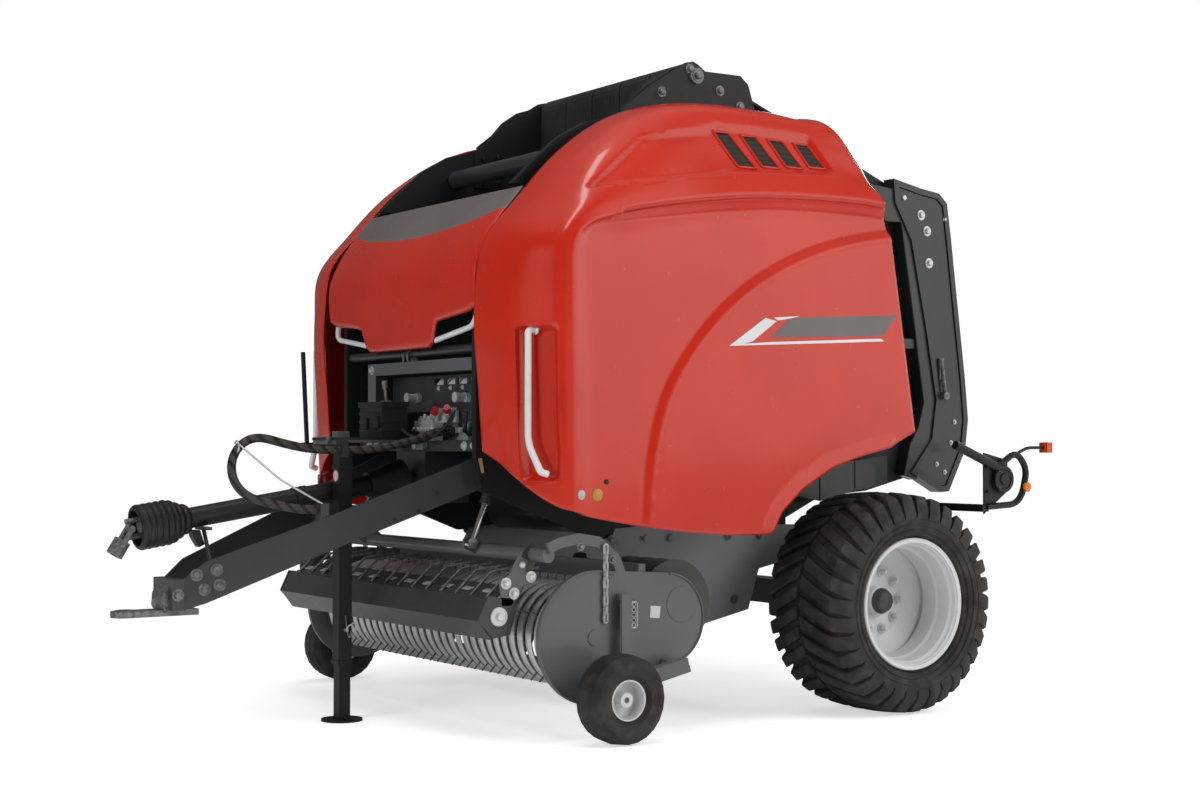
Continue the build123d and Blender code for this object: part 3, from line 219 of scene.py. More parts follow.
def lampLens(name, light, dark):
    # moulded polycarbonate lens with pressed prisms, 6 mm apart
    material, tree, shader = newMaterial(name, {"Roughness": 0.18, "IOR": 1.58})
    prism = addNode(tree, "ShaderNodeTexVoronoi", {"Scale": 160.0, "Randomness": 0.1},
                    {"Vector": placeIn(tree)})
    tone = twoTone(tree, prism.outputs["Distance"], light, dark, 0.2, 0.7)
    feed(tree, shader, {"Base Color": tone})
    bumps(tree, shader, prism.outputs["Distance"], 0.001, 0.5)
    return material


def beltCloth(name):
    # woven belt faced with rubber: a fine rib across, 6 mm real, drawn 12 mm
    material, tree, shader = newMaterial(name, {"Roughness": 0.62})
    ribs = addNode(tree, "ShaderNodeTexWave",
                   {"Scale": 26.0, "bands_direction": "X", "Distortion": 0.6},
                   {"Vector": placeIn(tree)})
    feed(tree, shader, {"Base Color": twoTone(tree, mottle(tree, 5, 5), "#18191a", "#2a2b2c")})
    bumps(tree, shader, ribs.outputs["Fac"], 0.0015, 0.7)
    return material


def treadRubber(name):
    # tyre: moulded rubber with patches of road dust
    material, tree, shader = newMaterial(name, {"Roughness": 0.72, "IOR": 1.52})
    rubber = twoTone(tree, mottle(tree, 7, 6), "#1b1b1b", "#2d2c2b")
    dust = spread(tree, mottle(tree, 15, 8), 0.0, 0.4, 0.45, 0.8)
    feed(tree, shader, {"Base Color": mixColour(tree, dust, rubber, "#5b5751")})
    bumps(tree, shader, mottle(tree, 180, 4), 0.0008, 0.5)
    return material


finish = {
    "red": enamel("glossRedEnamel", "#c4260d", "#bb1f09", 0.24, 0.5),
    "bandGrey": enamel("satinGreyEnamel", "#6a6465", "#605b5c", 0.34, 0.2),
    "grey": enamel("greyFrameEnamel", "#5a5e61", "#505457", 0.34, 0.3, 0.15),
    "dark": enamel("anthraciteEnamel", "#2f3437", "#272b2e", 0.36, 0.25, 0.25),
    "black": enamel("blackEnamel", "#14171a", "#0e1113", 0.48, 0.0),
    # a paler copy of the grey frame enamel for the chassis: partly its own lighter paint, partly
    # painted light
    "paleGrey": enamel("paleLitGreyEnamel", "#8d9194", "#83878a", 0.34, 0.3, 0.15),
    "silver": enamel("silverWheelEnamel", "#dee0e2", "#d2d5d7", 0.32, 0.3, 0.12),
    "yellow": enamel("ochrePlateEnamel", "#bda06a", "#a98d59", 0.45, 0.1),
    "white": enamel("whitePlateEnamel", "#cfd2d4", "#c4c7c9", 0.4, 0.1),
    "capRed": enamel("redCapPlastic", "#b4161a", "#a01014", 0.3, 0.2),
    "galvanised": bareSteel("hotDipGalvanisedSteel", "#c6cacc", "#a3a8ab", 0.42, 90, 0.0004, 0.5),
    "plated": bareSteel("zincPlatedSteel", "#dfe1e2", "#cbced0", 0.3, 30, 0.0, 0.4),
    "polished": bareSteel("groundRodSteel", "#e3e4e5", "#d2d4d5", 0.1, 20),
    "worn": bareSteel("wornBareSteel", "#8d8f90", "#636566", 0.45, 60, 0.0005, 0.4),
    "tyre": treadRubber("treadRubber"),
    "belt": beltCloth("ribbedBeltRubber"),
    "hose": softBlack("hoseRubber", "#232424", "#171818", 0.55, 220, 0.0006),
    "wrap": spiralWrap("spiralHoseWrap"),
    "plastic": softBlack("mouldedBlackPolypropylene", "#1c1d1f", "#141517", 0.45, 260, 0.0004),
    "mesh": ventMesh("pressedSteelMesh"),
    "amber": lampLens("amberLens", "#e8871c", "#c25c0c"),
    "redLens": lampLens("redLens", "#c8321a", "#8f1a10"),
    "bronze": lampLens("bronzeReflector", "#c98a3c", "#a86c28"),
    "clear": lampLens("silverReflector", "#c4c9cc", "#9ba1a5"),
    "orange": lampLens("orangeReflector", "#d9541e", "#b03c10"),
}
print("stage: materials")


# Shape helpers: each adds to a bmesh, and makePiece turns the bmesh into an object

def addFaces(shape, points, faces):
    corners = [shape.verts.new(point) for point in points]
    for face in faces:
        shape.faces.new([corners[i] for i in face])


def addPrism(shape, outline, start, end, across="x"):
    # an outline in the two other axes, pushed from start to end along the axis named across
    order = {"x": lambda s, a, b: (s, a, b), "y": lambda s, a, b: (a, s, b),
             "z": lambda s, a, b: (a, b, s)}[across]
    count = len(outline)
    points = [order(start, a, b) for a, b in outline] + [order(end, a, b) for a, b in outline]
    faces = [list(range(count))[::-1], list(range(count, 2 * count))]
    faces += [[i, (i + 1) % count, (i + 1) % count + count, i + count] for i in range(count)]
    addFaces(shape, points, faces)


def addBlock(shape, x0, x1, y0, y1, z0, z1):
    addPrism(shape, [(y0, z0), (y1, z0), (y1, z1), (y0, z1)], x0, x1)


def aroundAxis(way):
    way = Vector(way).normalized()
    side = way.cross(Vector((0, 0, 1)) if abs(way.z) < 0.9 else Vector((1, 0, 0))).normalized()
    return way, side, side.cross(way)


def addBar(shape, start, end, radius, sides=20, endRadius=None):
    way, side, up = aroundAxis(Vector(end) - Vector(start))
    rings = []
    for centre, reach in ((start, radius), (end, radius if endRadius is None else endRadius)):
        for i in range(sides):
            turn = 2 * math.pi * i / sides
            rings.append(Vector(centre) + (side * math.cos(turn) + up * math.sin(turn)) * reach)
    faces = [list(range(sides)), list(range(sides, 2 * sides))[::-1]]
    faces += [[i, i + sides, (i + 1) % sides + sides, (i + 1) % sides] for i in range(sides)]
    addFaces(shape, rings, faces)


def bendPath(points, radius, steps=6):
    # rounds the corners of a rigid pipe's route
    route = [Vector(points[0])]
    for before, here, after in zip(points, points[1:], points[2:]):
        into = Vector(before) - Vector(here)
        out = Vector(after) - Vector(here)
        cut = min(radius, into.length * 0.45, out.length * 0.45)
        first = Vector(here) + into.normalized() * cut
        last = Vector(here) + out.normalized() * cut
        for i in range(steps + 1):
            t = i / steps
            route.append(first * (1 - t) ** 2 + Vector(here) * 2 * t * (1 - t) + last * t * t)
    return route + [Vector(points[-1])]


def addPipe(shape, route, radius, sides=14, radii=None):
    route = [Vector(point) for point in route]
    side = None
    rings = []
    for i, centre in enumerate(route):
        way = (route[min(i + 1, len(route) - 1)] - route[max(i - 1, 0)]).normalized()
        if side is None:
            way, side, up = aroundAxis(way)
        side = (side - way * side.dot(way)).normalized()
        up = side.cross(way)
        reach = radii[i] if radii else radius
        for k in range(sides):
            turn = 2 * math.pi * k / sides
            rings.append(centre + (side * math.cos(turn) + up * math.sin(turn)) * reach)
    faces = [list(range(sides)), list(range(len(rings) - sides, len(rings)))[::-1]]
    for i in range(len(route) - 1):
        for k in range(sides):
            a, b = i * sides + k, i * sides + (k + 1) % sides
            faces.append([a, a + sides, b + sides, b])
    addFaces(shape, rings, faces)


def addTurned(shape, profile, centre, axis=(1, 0, 0), steps=72, closed=True):
    # profile holds (distance along the axis, radius) pairs
    way, side, up = aroundAxis(axis)
    rings = []
    for i in range(steps):
        turn = 2 * math.pi * i / steps
        out = side * math.cos(turn) + up * math.sin(turn)
        rings += [Vector(centre) + way * along + out * reach for along, reach in profile]
    count = len(profile)
    faces = []
    for i in range(steps):
        for k in range(count if closed else count - 1):
            a, b = i * count + k, i * count + (k + 1) % count
            c, d = (a + count) % len(rings), (b + count) % len(rings)
            faces.append([a, b, d, c])
    addFaces(shape, rings, faces)


def addBolts(shape, places, axis, across=19, height=11, washer=True):
    # hexagon heads with washers: places are the points that the heads sit on
    way, side, up = aroundAxis(axis)
    for where in places:
        base = Vector(where)
        if washer:
            addBar(shape, base, base + way * 3, across * 0.95, 18)
        seat = base + way * (3 if washer else 0)
        addBar(shape, seat, seat + way * height * 0.8, across * 0.58, 6)
        addBar(shape, seat + way * height * 0.8, seat + way * height, across * 0.56, 6,
               across * 0.45)


def gridFaces(rows, start=0):
    # the quads between neighbouring rows of points
    width = len(rows[0])
    return [[start + i * width + k, start + i * width + k + 1,
             start + (i + 1) * width + k + 1, start + (i + 1) * width + k]
            for i in range(len(rows) - 1) for k in range(width - 1)]


def addSheet(shape, rows):
    addFaces(shape, [point for row in rows for point in row], gridFaces(rows))


def addDisc(shape, centre, axis, radius, height, sides=28, edge=1.0):
    # a low round head or plug with a softened rim
    addTurned(shape, [(-1, 0.1), (-1, radius), (height - edge, radius), (height, radius - edge),
                      (height, 0.1)], centre, axis, sides, closed=False)


def sideBolts(shape, x, places, across, height):
    # bolts at (y, z) places on a face that looks to the machine's left
    addBolts(shape, [(x, y, z) for y, z in places], (1, 0, 0), across, height)


def addStub(shape, start, steps):
    # bars in line that follow each other forwards: (length, radius, sides) each
    x, y, z = start
    for length, radius, sides in steps:
        addBar(shape, (x, y, z), (x, y - length, z), radius, sides)
        y -= length


def evenly(count, reach):
    # places at equal distances from -reach to reach
    return [reach * (2 * i / (count - 1) - 1) for i in range(count)]


def arc(x, y, z, radius, start, end, steps):
    # points round an axle at (y, z), from one angle to another in degrees
    turns = [math.radians(start + (end - start) * i / steps) for i in range(steps + 1)]
    return [(x, y + radius * math.cos(turn), z + radius * math.sin(turn)) for turn in turns]


def sagging(start, end, drop, count=14):
    # a line that hangs between two fixed ends
    start, end = Vector(start), Vector(end)
    return [start.lerp(end, i / count) - Vector((0, 0, drop * 4 * i / count * (1 - i / count)))
            for i in range(count + 1)]


def inset(outline, distance):
    # moves each edge of a counter-clockwise outline inwards and meets the edges again
    result = []
    count = len(outline)
    for i in range(count):
        a, b, c = (Vector(outline[(i + k) % count]) for k in (-1, 0, 1))
        first, second = (b - a).normalized(), (c - b).normalized()
        inwards = Vector((-first.y, first.x)) + Vector((-second.y, second.x))
        share = distance / max(1 + first.dot(second), 0.4)
        result.append(tuple(b + inwards * share))
    return result


def smoothLine(points, knots=None):
    # smooth curve through points; its knots follow the distances between them
    points = [Vector(point) for point in points]
    if knots is None:
        knots = [0.0]
        for a, b in zip(points, points[1:]):
            knots.append(knots[-1] + max((b - a).length, 0.001))
        knots = [knot / knots[-1] for knot in knots]
    last = len(points) - 1
    slopes = [(b - a) / (u - t) for a, b, t, u in zip(points, points[1:], knots, knots[1:])]
    pulls = [slopes[0]]
    for i in range(1, last):
        before, after = knots[i] - knots[i - 1], knots[i + 1] - knots[i]
        pulls.append((slopes[i] * before + slopes[i - 1] * after) / (before + after))
    pulls.append(slopes[-1])

    def at(t):
        i = 0
        while i < last - 1 and t > knots[i + 1]:
            i += 1
        span = knots[i + 1] - knots[i]
        f = min(max((t - knots[i]) / span, 0), 1)
        return (points[i] * (1 + 2 * f) * (1 - f) ** 2 + pulls[i] * span * f * (1 - f) ** 2
                + points[i + 1] * f * f * (3 - 2 * f) + pulls[i + 1] * span * f * f * (f - 1))
    return at, knots


def evenPath(points, count, smooth=True):
    # points spaced evenly by length along a curve or a polyline
    if smooth:
        curve = smoothLine(points)[0]
        fine = [curve(i / 400) for i in range(401)]
    else:
        fine = [Vector(point) for point in points]
    lengths = [0.0]
    for a, b in zip(fine, fine[1:]):
        lengths.append(lengths[-1] + (b - a).length)
    result, k = [], 0
    for i in range(count):
        want = lengths[-1] * i / (count - 1)
        while k < len(fine) - 2 and lengths[k + 1] < want:
            k += 1
        span = lengths[k + 1] - lengths[k]
        f = (want - lengths[k]) / span if span else 0
        result.append(fine[k].lerp(fine[k + 1], min(max(f, 0), 1)))
    return result


def smoothStep(value, low, high):
    t = min(max((value - low) / (high - low), 0), 1)
    return t * t * (3 - 2 * t)


def makePiece(shape, name, material, body, slot=None, bevel=0.0, angle=38, replaces=(),
              thickness=0.0, mirror=False):
    # bevel and wall thickness in mm; edges flatter than the angle in degrees are shaded smooth
    if mirror:
        for corner in shape.verts:
            corner.co.x = -corner.co.x
        bmesh.ops.reverse_faces(shape, faces=shape.faces)
    if not thickness:
        bmesh.ops.recalc_face_normals(shape, faces=shape.faces)
    for corner in shape.verts:
        corner.co = toFrame(corner.co)
    for edge in shape.edges:
        if len(edge.link_faces) == 2:
            edge.smooth = edge.calc_face_angle(0) < math.radians(angle)
    for face in shape.faces:
        face.smooth = True
    mesh = bpy.data.meshes.new(name)
    shape.to_mesh(mesh)
    shape.free()
    piece = bpy.data.objects.new(name, mesh)
    bpy.context.scene.collection.objects.link(piece)
    materials = material if isinstance(material, (list, tuple)) else [material]
    for each in materials:
        mesh.materials.append(finish[each])
    if thickness:
        solid = piece.modifiers.new("wall", "SOLIDIFY")
        solid.thickness = thickness / 1000
        solid.offset = -1
    if bevel:
        edges = piece.modifiers.new("edges", "BEVEL")
        edges.width = bevel / 1000
        edges.segments = 2
        edges.limit_method = "ANGLE"
        edges.angle_limit = math.radians(40)
    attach(piece, body)
    if replaces:
        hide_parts(*replaces)


def onePiece(draw, name, material, body, *given, **options):
    # what is given goes to the function that draws, the options go to makePiece
    shape = bmesh.new()
    draw(shape, *given)
    makePiece(shape, name, material, body, **options)


def bothSides(draw, name, material, body, *given, replaces=(), **options):
    # the left piece and its mirror image, with the side in the place of {}; a replaced node
    # that has no side in its name goes with the left piece
    for side in ("left", "right"):
        nodes = [node.format(side) for node in replaces if side == "left" or "{}" in node]
        onePiece(draw, name.format(side), material, body.format(side), *given,
                 replaces=nodes, mirror=side == "right", **options)


# Finishes of the CAD pieces that stay as they are
cadFinish = {
    "dark": ["axle", "drawbar", "gearbox", "front_frame", "shaft_holder", "door_hinges",
             "tailgate_frame", "gate_barrel_left", "gate_barrel_right", "lift_barrel_left",
             "lift_barrel_right", "guard_roller", "feed_rotor", "wind_guard", "fixed_rollers"],
    "black": ["side_walls", "top_arms", "tailgate_walls", "jack_sleeve", "jack_leg", "stay_rod"],
    # the chassis plate in the paler grey: partly lighter paint, partly painted light
    "paleGrey": ["chassis"],
    "grey": ["pickup_frame", "gauge_arms"],
    "belt": ["belts", "tailgate_belts"],
    "galvanised": ["tailgate_rollers", "pickup_bands"],
    "plated": ["valve_block"],
    "polished": ["gate_rod_left", "gate_rod_right", "lift_rod_left", "lift_rod_right"],
    "worn": ["drive_shaft", "shaft_yoke", "hitch_eye", "pickup_reel"],
    "plastic": ["shaft_guard", "console", "rear_lamps"],
    "tyre": ["gauge_tyre_left", "gauge_tyre_right"],
    "silver": ["rim_left", "rim_right", "gauge_rim_left", "gauge_rim_right"],
}
for paint, nodes in cadFinish.items():
    for node in nodes:
        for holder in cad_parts[node].material_slots:
            holder.material = finish[paint]
print("stage: CAD finishes")


# Hoses: the bundle from the valves to the guide, then the free loop down to the clamp
hoseBundle = {
    "radius": 19,
    "run": [(235, -1740, 1292), (235, -1800, 1292), (222, -1880, 1276), (195, -1985, 1238),
            (165, -2110, 1212), (150, -2200, 1206), (150, -2290, 1206)],
    "loop": [(150, -2290, 1206), (150, -2410, 1206), (158, -2550, 1232), (170, -2680, 1266),
             (180, -2765, 1238), (188, -2815, 1163), (196, -2809, 1077), (206, -2754, 1011),
             (220, -2672, 985), (236, -2592, 966), (250, -2515, 950), (250, -2440, 950)],
}


def routeCurve(name, route, radius):
    line = bpy.data.curves.new(name, "CURVE")
    line.dimensions = "3D"
    spline = line.splines.new("NURBS")
    spline.points.add(len(route) - 1)
    for knot, point in zip(spline.points, route):
        knot.co = (*toFrame(point), 1)
    spline.order_u = 3
    spline.use_endpoint_u = True
    line.resolution_u = 12
    line.bevel_depth = radius / 1000
    line.bevel_resolution = 5
    line.use_fill_caps = True
    hose = bpy.data.objects.new(name, line)
    bpy.context.scene.collection.objects.link(hose)
    line.materials.append(finish["wrap"])
    return hose


def splineLength(hose):
    # length in metres of the curve itself, without its thickness
    bevel = hose.data.bevel_depth
    hose.data.bevel_depth = 0
    mesh = bpy.data.meshes.new_from_object(
        hose.evaluated_get(bpy.context.evaluated_depsgraph_get()))
    hose.data.bevel_depth = bevel
    points = [corner.co.copy() for corner in mesh.vertices]
    bpy.data.meshes.remove(mesh)
    return sum((b - a).length for a, b in zip(points, points[1:]))


def addHose(name, route, node):
    hose = routeCurve(name, route, hoseBundle["radius"])
    length = splineLength(hose)
    print("hose", name, round(length, 3))
    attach(hose, "frame")
    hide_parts(node)


addHose("hoseRun", hoseBundle["run"], "hose_run")
addHose("hoseLoop", hoseBundle["loop"], "hose_loop")
print("stage: hoses")


def nearestOn(line, y, z):
    # distance from a (y, z) place to a polyline, its side, and how far along it lies
    best, side, along, walked = 1e9, 1, 0.0, 0.0
    for (ay, az), (by, bz) in zip(line, line[1:]):
        dy, dz = by - ay, bz - az
        length = math.hypot(dy, dz)
        f = min(max(((y - ay) * dy + (z - az) * dz) / length ** 2, 0), 1)
        gap = math.hypot(y - ay - dy * f, z - az - dz * f)
        if gap < best:
            best, along = gap, walked + f * length
            side = 1 if dy * (z - az) - dz * (y - ay) > 0 else -1
        walked += length
    return best, side, along / walked


def insideOf(outline, y, z):
    # how deep a (y, z) place lies inside a convex outline; negative when outside
    depth = 1e9
    for (ay, az), (by, bz) in zip(outline, outline[1:] + outline[:1]):
        dy, dz = by - ay, bz - az
        depth = min(depth, (dy * (z - az) - dz * (y - ay)) / math.hypot(dy, dz))
    return depth


# Side covers: a moulded shoulder that runs from the front corner over the wheel, and a side panel
coverShell = {
    "thickness": 7,
    "side": 1158,         # the side panel's place
    "lines": [
        # seven (x, y, z) places from the inner edge over the shoulder to the side panel
        [(738, -1905, 1200), (850, -1885, 1150), (950, -1860, 1085), (1030, -1835, 1035),
         (1090, -1800, 995), (1130, -1760, 968), (1155, -1702, 951)],
        [(738, -1925, 1450), (850, -1908, 1440), (950, -1880, 1430), (1030, -1845, 1425),
         (1090, -1805, 1420), (1135, -1765, 1415), (1157, -1705, 1410)],
        [(738, -1944, 1850), (850, -1925, 1850), (950, -1893, 1850), (1030, -1853, 1850),
         (1090, -1810, 1850), (1135, -1768, 1850), (1158, -1712, 1850)],
        [(738, -1905, 2095), (850, -1893, 2090), (950, -1868, 2085), (1030, -1838, 2080),
         (1090, -1800, 2075), (1135, -1758, 2070), (1158, -1705, 2062)],
        [(738, -1745, 2290), (850, -1735, 2290), (950, -1712, 2285), (1030, -1688, 2270),
         (1090, -1668, 2245), (1135, -1650, 2215), (1158, -1625, 2160)],
        [(738, -1520, 2525), (850, -1508, 2520), (950, -1487, 2508), (1030, -1462, 2470),
         (1090, -1435, 2400), (1135, -1415, 2310), (1158, -1400, 2225)],
        [(738, -1308, 2671), (850, -1290, 2665), (950, -1265, 2640), (1030, -1235, 2570),
         (1090, -1200, 2470), (1135, -1175, 2350), (1158, -1160, 2270)],
        [(738, -1090, 2756), (850, -1070, 2748), (945, -1040, 2715), (1010, -1000, 2620),
         (1065, -960, 2500), (1120, -930, 2390), (1158, -900, 2312)],
        [(738, -516, 2795), (850, -510, 2785), (940, -505, 2745), (1005, -500, 2640),
         (1060, -495, 2510), (1120, -490, 2410), (1158, -488, 2345)],
        [(738, -290, 2782), (850, -288, 2772), (940, -287, 2730), (1005, -290, 2625),
         (1060, -292, 2502), (1120, -290, 2412), (1158, -290, 2350)],
        [(738, -57, 2752), (850, -70, 2755), (940, -85, 2705), (1005, -95, 2600),
         (1060, -100, 2490), (1120, -100, 2410), (1158, -100, 2350)],
        [(738, 60, 2650), (850, 45, 2640), (940, 30, 2600), (1005, 15, 2530), (1060, 10, 2460),
         (1120, 20, 2400), (1158, 34, 2345)],
    ],
    "frontLines": 4,      # the first of them run up the front, the others along the top
    "cells": (112, 150, 40),
    "sill": [(-1702, 951), (-1640, 930), (-1500, 905), (-1321, 876), (-1100, 848), (-900, 833),
             (-760, 830), (-700, 831), (-666, 837), (-655, 850), (-609, 929), (-493, 1026),
             (-315, 1123), (-133, 1177), (40, 1215), (206, 1290)],
    "rear": [(206, 1290), (34, 2345)],
    "crown": 7,           # rise of the side panel's middle
    "crease": [(144, 2205), (-138, 2160), (-498, 2053), (-841, 1866), (-1062, 1661),
               (-1223, 1421), (-1286, 1207), (-1318, 889)],
    "creaseDepth": (30, 18),
    "creaseBand": 50,
    "ridge": (2.5, 24),   # what swells ahead of the crease, and how wide
    "arch": [(-655, 850), (-609, 929), (-493, 1026), (-315, 1123), (-133, 1177), (40, 1215)],
    "archLip": (12, 70),  # what stands out over the wheel, and how wide it fades
    "ledge": [(60, 2348), (34, 2349), (-100, 2354), (-290, 2354), (-488, 2349), (-900, 2316),
              (-1160, 2274), (-1400, 2228), (-1560, 2178), (-1700, 2111)],
    "ledgeDepth": 17,
    "ledgeBand": 120,
    "ledgeFrom": (1060, 1950),    # nothing further in or lower is touched
    # the recess ahead of the vents and the one that holds them
    "panels": [[(-1600, 2316), (-860, 2437), (-800, 2664), (-1275, 2575)],
               [(-900, 2440), (-205, 2488), (-300, 2655), (-850, 2668)]],
    "panelsFrom": 900,    # the panels lie outside this x
    "panelDepth": 20,
    "recess": {"x": (968, 1132), "z": (1075, 1722), "depth": 52},
    "hinges": (-900, -285),
    "notch": {"x": 776, "z": 2600, "half": 68},
    "ventFirst": [(-860, 2635), (-776, 2635), (-667, 2473), (-770, 2473)],
    "ventLast": [(-397, 2620), (-313, 2620), (-241, 2508), (-338, 2508)],
    "ventCount": 4,
    "ventLift": 1.2,
    "ventLip": 6.5,       # radius of the lip round each vent
}


def curved(places, count):
    # the same (y, z) line as a smooth curve
    return [(point.y, point.z) for point in evenPath([(0, y, z) for y, z in places], count)]


creaseLine = curved(coverShell["crease"], 60)
ledgeLine = curved(coverShell["ledge"], 40)


def coverGrids():
    up, along, across = coverShell["cells"]
    lines, side = coverShell["lines"], coverShell["side"]
    knots = smoothLine([line[3] for line in lines])[1]
    columns = [smoothLine(places, knots)[0] for places in zip(*lines)]
    turn = knots[coverShell["frontLines"]]
    stations = [turn * i / up for i in range(up)]
    stations += [turn + (1 - turn) * i / along for i in range(along + 1)]
    shoulder = []
    for t in stations:
        row = smoothLine([column(t) for column in columns])[0]
        shoulder.append([row(k / across) for k in range(across + 1)])
    edge = [row[-1] for row in shoulder]
    front, top = edge[:up + 1], edge[up:]
    sill = evenPath([(side, y, z) for y, z in coverShell["sill"]], along + 1, smooth=False)
    rear = evenPath([(side, y, z) for y, z in coverShell["rear"]], up + 1, smooth=False)
    panel = []
    for j in range(up + 1):
        v = j / up
        row = []
        for i in range(along + 1):
            u = i / along
            point = sill[i] * (1 - v) + top[i] * v + front[j] * (1 - u) + rear[j] * u
            point -= (sill[0] * (1 - u) + sill[-1] * u) * (1 - v)
            point -= (top[0] * (1 - u) + top[-1] * u) * v
            row.append(point)
        panel.append(row)
    return shoulder, panel


def underLedge(point):
    # the side panel starts set in under the shoulder's edge and comes out again further down
    inmost, lowest = coverShell["ledgeFrom"]
    if point.z < lowest or point.x < inmost:
        return 0.0
    gap, side, along = nearestOn(ledgeLine, point.y, point.z)
    if side < 0:
        return 0.0
    fade = smoothStep(-along, -1.0, -0.86) * smoothStep(point.x, inmost, inmost + 50)
    return coverShell["ledgeDepth"] * fade * smoothStep(-gap, -coverShell["ledgeBand"], 0)


def plateau(value, low, high, rise, fall):
    # one between low and high, and down to nothing over the rise and the fall inside them
    return smoothStep(value, low, low + rise) * smoothStep(-value, -high, fall - high)


def pressedDepth(point):
    # how deep the shoulder is pressed in at a point: panels at the top, the ledge above the
    # side panel, and the handle's recess low on the front
    depth = underLedge(point)
    if point.x > coverShell["panelsFrom"]:
        inside = max(insideOf(panel, point.y, point.z) for panel in coverShell["panels"])
        depth += coverShell["panelDepth"] * smoothStep(inside, -3, 11)
    recess = coverShell["recess"]
    share = plateau(point.x, *recess["x"], 18, 18) * plateau(point.z, *recess["z"], 22, 18)
    return depth + recess["depth"] * share


def shapeShoulder(rows):
    count, last = len(rows[0]) - 1, len(rows) - 1
    shaped = []
    for i, row in enumerate(rows):
        new = []
        for k, point in enumerate(row):
            ahead, behind = rows[min(i + 1, last)][k], rows[max(i - 1, 0)][k]
            left, right = row[max(k - 1, 0)], row[min(k + 1, count)]
            inward = (right - left).cross(ahead - behind).normalized()
            if inward.x > 0:
                inward = -inward
            new.append(point + inward * pressedDepth(point))
        shaped.append(new)
    return shaped


def shapePanel(rows):
    # a slight crown, the crease, the ridge ahead of it, the lip over the wheel and the ledge
    deep, shallow = coverShell["creaseDepth"]
    swell, swellBand = coverShell["ridge"]
    lip, lipBand = coverShell["archLip"]
    last, wide = len(rows) - 1, len(rows[0]) - 1
    shaped = []
    for j, row in enumerate(rows):
        new = []
        belowTop = smoothStep(last - j, 0, 8)
        for i, point in enumerate(row):
            v, u = j / last, i / wide
            x = point.x + coverShell["crown"] * 16 * u * (1 - u) * v * (1 - v)
            gap, side, along = nearestOn(creaseLine, point.y, point.z)
            if side < 0:
                depth = deep + (shallow - deep) * along
                depth *= smoothStep(gap, 0, coverShell["creaseBand"])
                x -= depth * belowTop * smoothStep(i, 0, 10)
            else:
                x += swell * smoothStep(-gap, -swellBand, 0) * belowTop
            overWheel = nearestOn(coverShell["arch"], point.y, point.z)[0]
            x += lip * smoothStep(-overWheel, -lipBand, 0) * belowTop
            x -= underLedge(point)
            new.append(Vector((x, point.y, point.z)))
        shaped.append(new)
    return shaped


shoulderRows, panelRows = coverGrids()
shoulderRows, panelRows = shapeShoulder(shoulderRows), shapePanel(panelRows)


def skinTree():
    points, faces = [], []
    for rows in (shoulderRows, panelRows):
        faces += gridFaces(rows, len(points))
        points += [point for row in rows for point in row]
    return BVHTree.FromPolygons(points, faces)


coverSkin = skinTree()


def onSkin(y, z, lift=0.0):
    # the place on the cover's outside at (y, z), raised by the lift, and its normal
    hit, normal = coverSkin.ray_cast(Vector((1500, y, z)), Vector((-1, 0, 0)))[:2]
    if normal.x < 0:
        normal = -normal
    return hit + normal * lift, normal


def drawCover(shape):
    # shoulder and side panel in one skin, cut out over the hinge brackets
    addSheet(shape, shoulderRows)
    addSheet(shape, panelRows)
    bmesh.ops.remove_doubles(shape, verts=shape.verts, dist=0.4)
    notch = coverShell["notch"]
    hidden = []
    for face in shape.faces:
        middle = face.calc_center_median()
        if middle.x < notch["x"] and middle.z > notch["z"]:
            if any(abs(middle.y - y) < notch["half"] for y in coverShell["hinges"]):
                hidden.append(face)
    bmesh.ops.delete(shape, geom=hidden, context="FACES")
    bmesh.ops.recalc_face_normals(shape, faces=shape.faces)
    if sum(face.normal.x for face in shape.faces) < 0:
        bmesh.ops.reverse_faces(shape, faces=shape.faces)


def ventGrids():
    # places on the skin in each of the slanted vents
    count = coverShell["ventCount"]
    grids = []
    for index in range(count):
        f = index / (count - 1)
        corners = [(ay + (by - ay) * f, az + (bz - az) * f) for (ay, az), (by, bz)
                   in zip(coverShell["ventFirst"], coverShell["ventLast"])]
        rows = []
        for j in range(7):
            v = j / 6
            row = []
            for i in range(6):
                u = i / 5
                y = (corners[0][0] * (1 - u) + corners[1][0] * u) * (1 - v)
                y += (corners[3][0] * (1 - u) + corners[2][0] * u) * v
                z = corners[0][1] * (1 - v) + corners[3][1] * v
                row.append(onSkin(y, z, coverShell["ventLift"])[0])
            rows.append(row)
        grids.append(rows)
    return grids


vents = ventGrids()


def drawVents(shape):
    for rows in vents:
        addSheet(shape, rows)


def drawVentLips(shape):
    for rows in vents:
        border = rows[0] + [row[-1] for row in rows[1:]] + rows[-1][-2::-1]
        border += [row[0] for row in rows[-2:0:-1]] + rows[0][:2]
        addPipe(shape, border, coverShell["ventLip"], 8)


def skinPatch(shape, outline, lift, step=12.0, across=24):
    # a thin film that follows the skin inside a convex (y, z) outline; its first and last
    # rows lie just inside the outline
    heights = [z for y, z in outline]
    low, high = min(heights), max(heights)
    count = max(2, round((high - low) / step))
    rows = []
    for j in range(count + 1):
        z = low + (high - low) * (j + (0.02 if j == 0 else -0.02 if j == count else 0)) / count
        cuts = []
        for (ay, az), (by, bz) in zip(outline, outline[1:] + outline[:1]):
            if (az - z) * (bz - z) <= 0 and az != bz:
                cuts.append(ay + (by - ay) * (z - az) / (bz - az))
        near, far = min(cuts), max(cuts)
        rows.append([onSkin(near + (far - near) * i / across, z, lift)[0]
                     for i in range(across + 1)])
    addSheet(shape, rows)


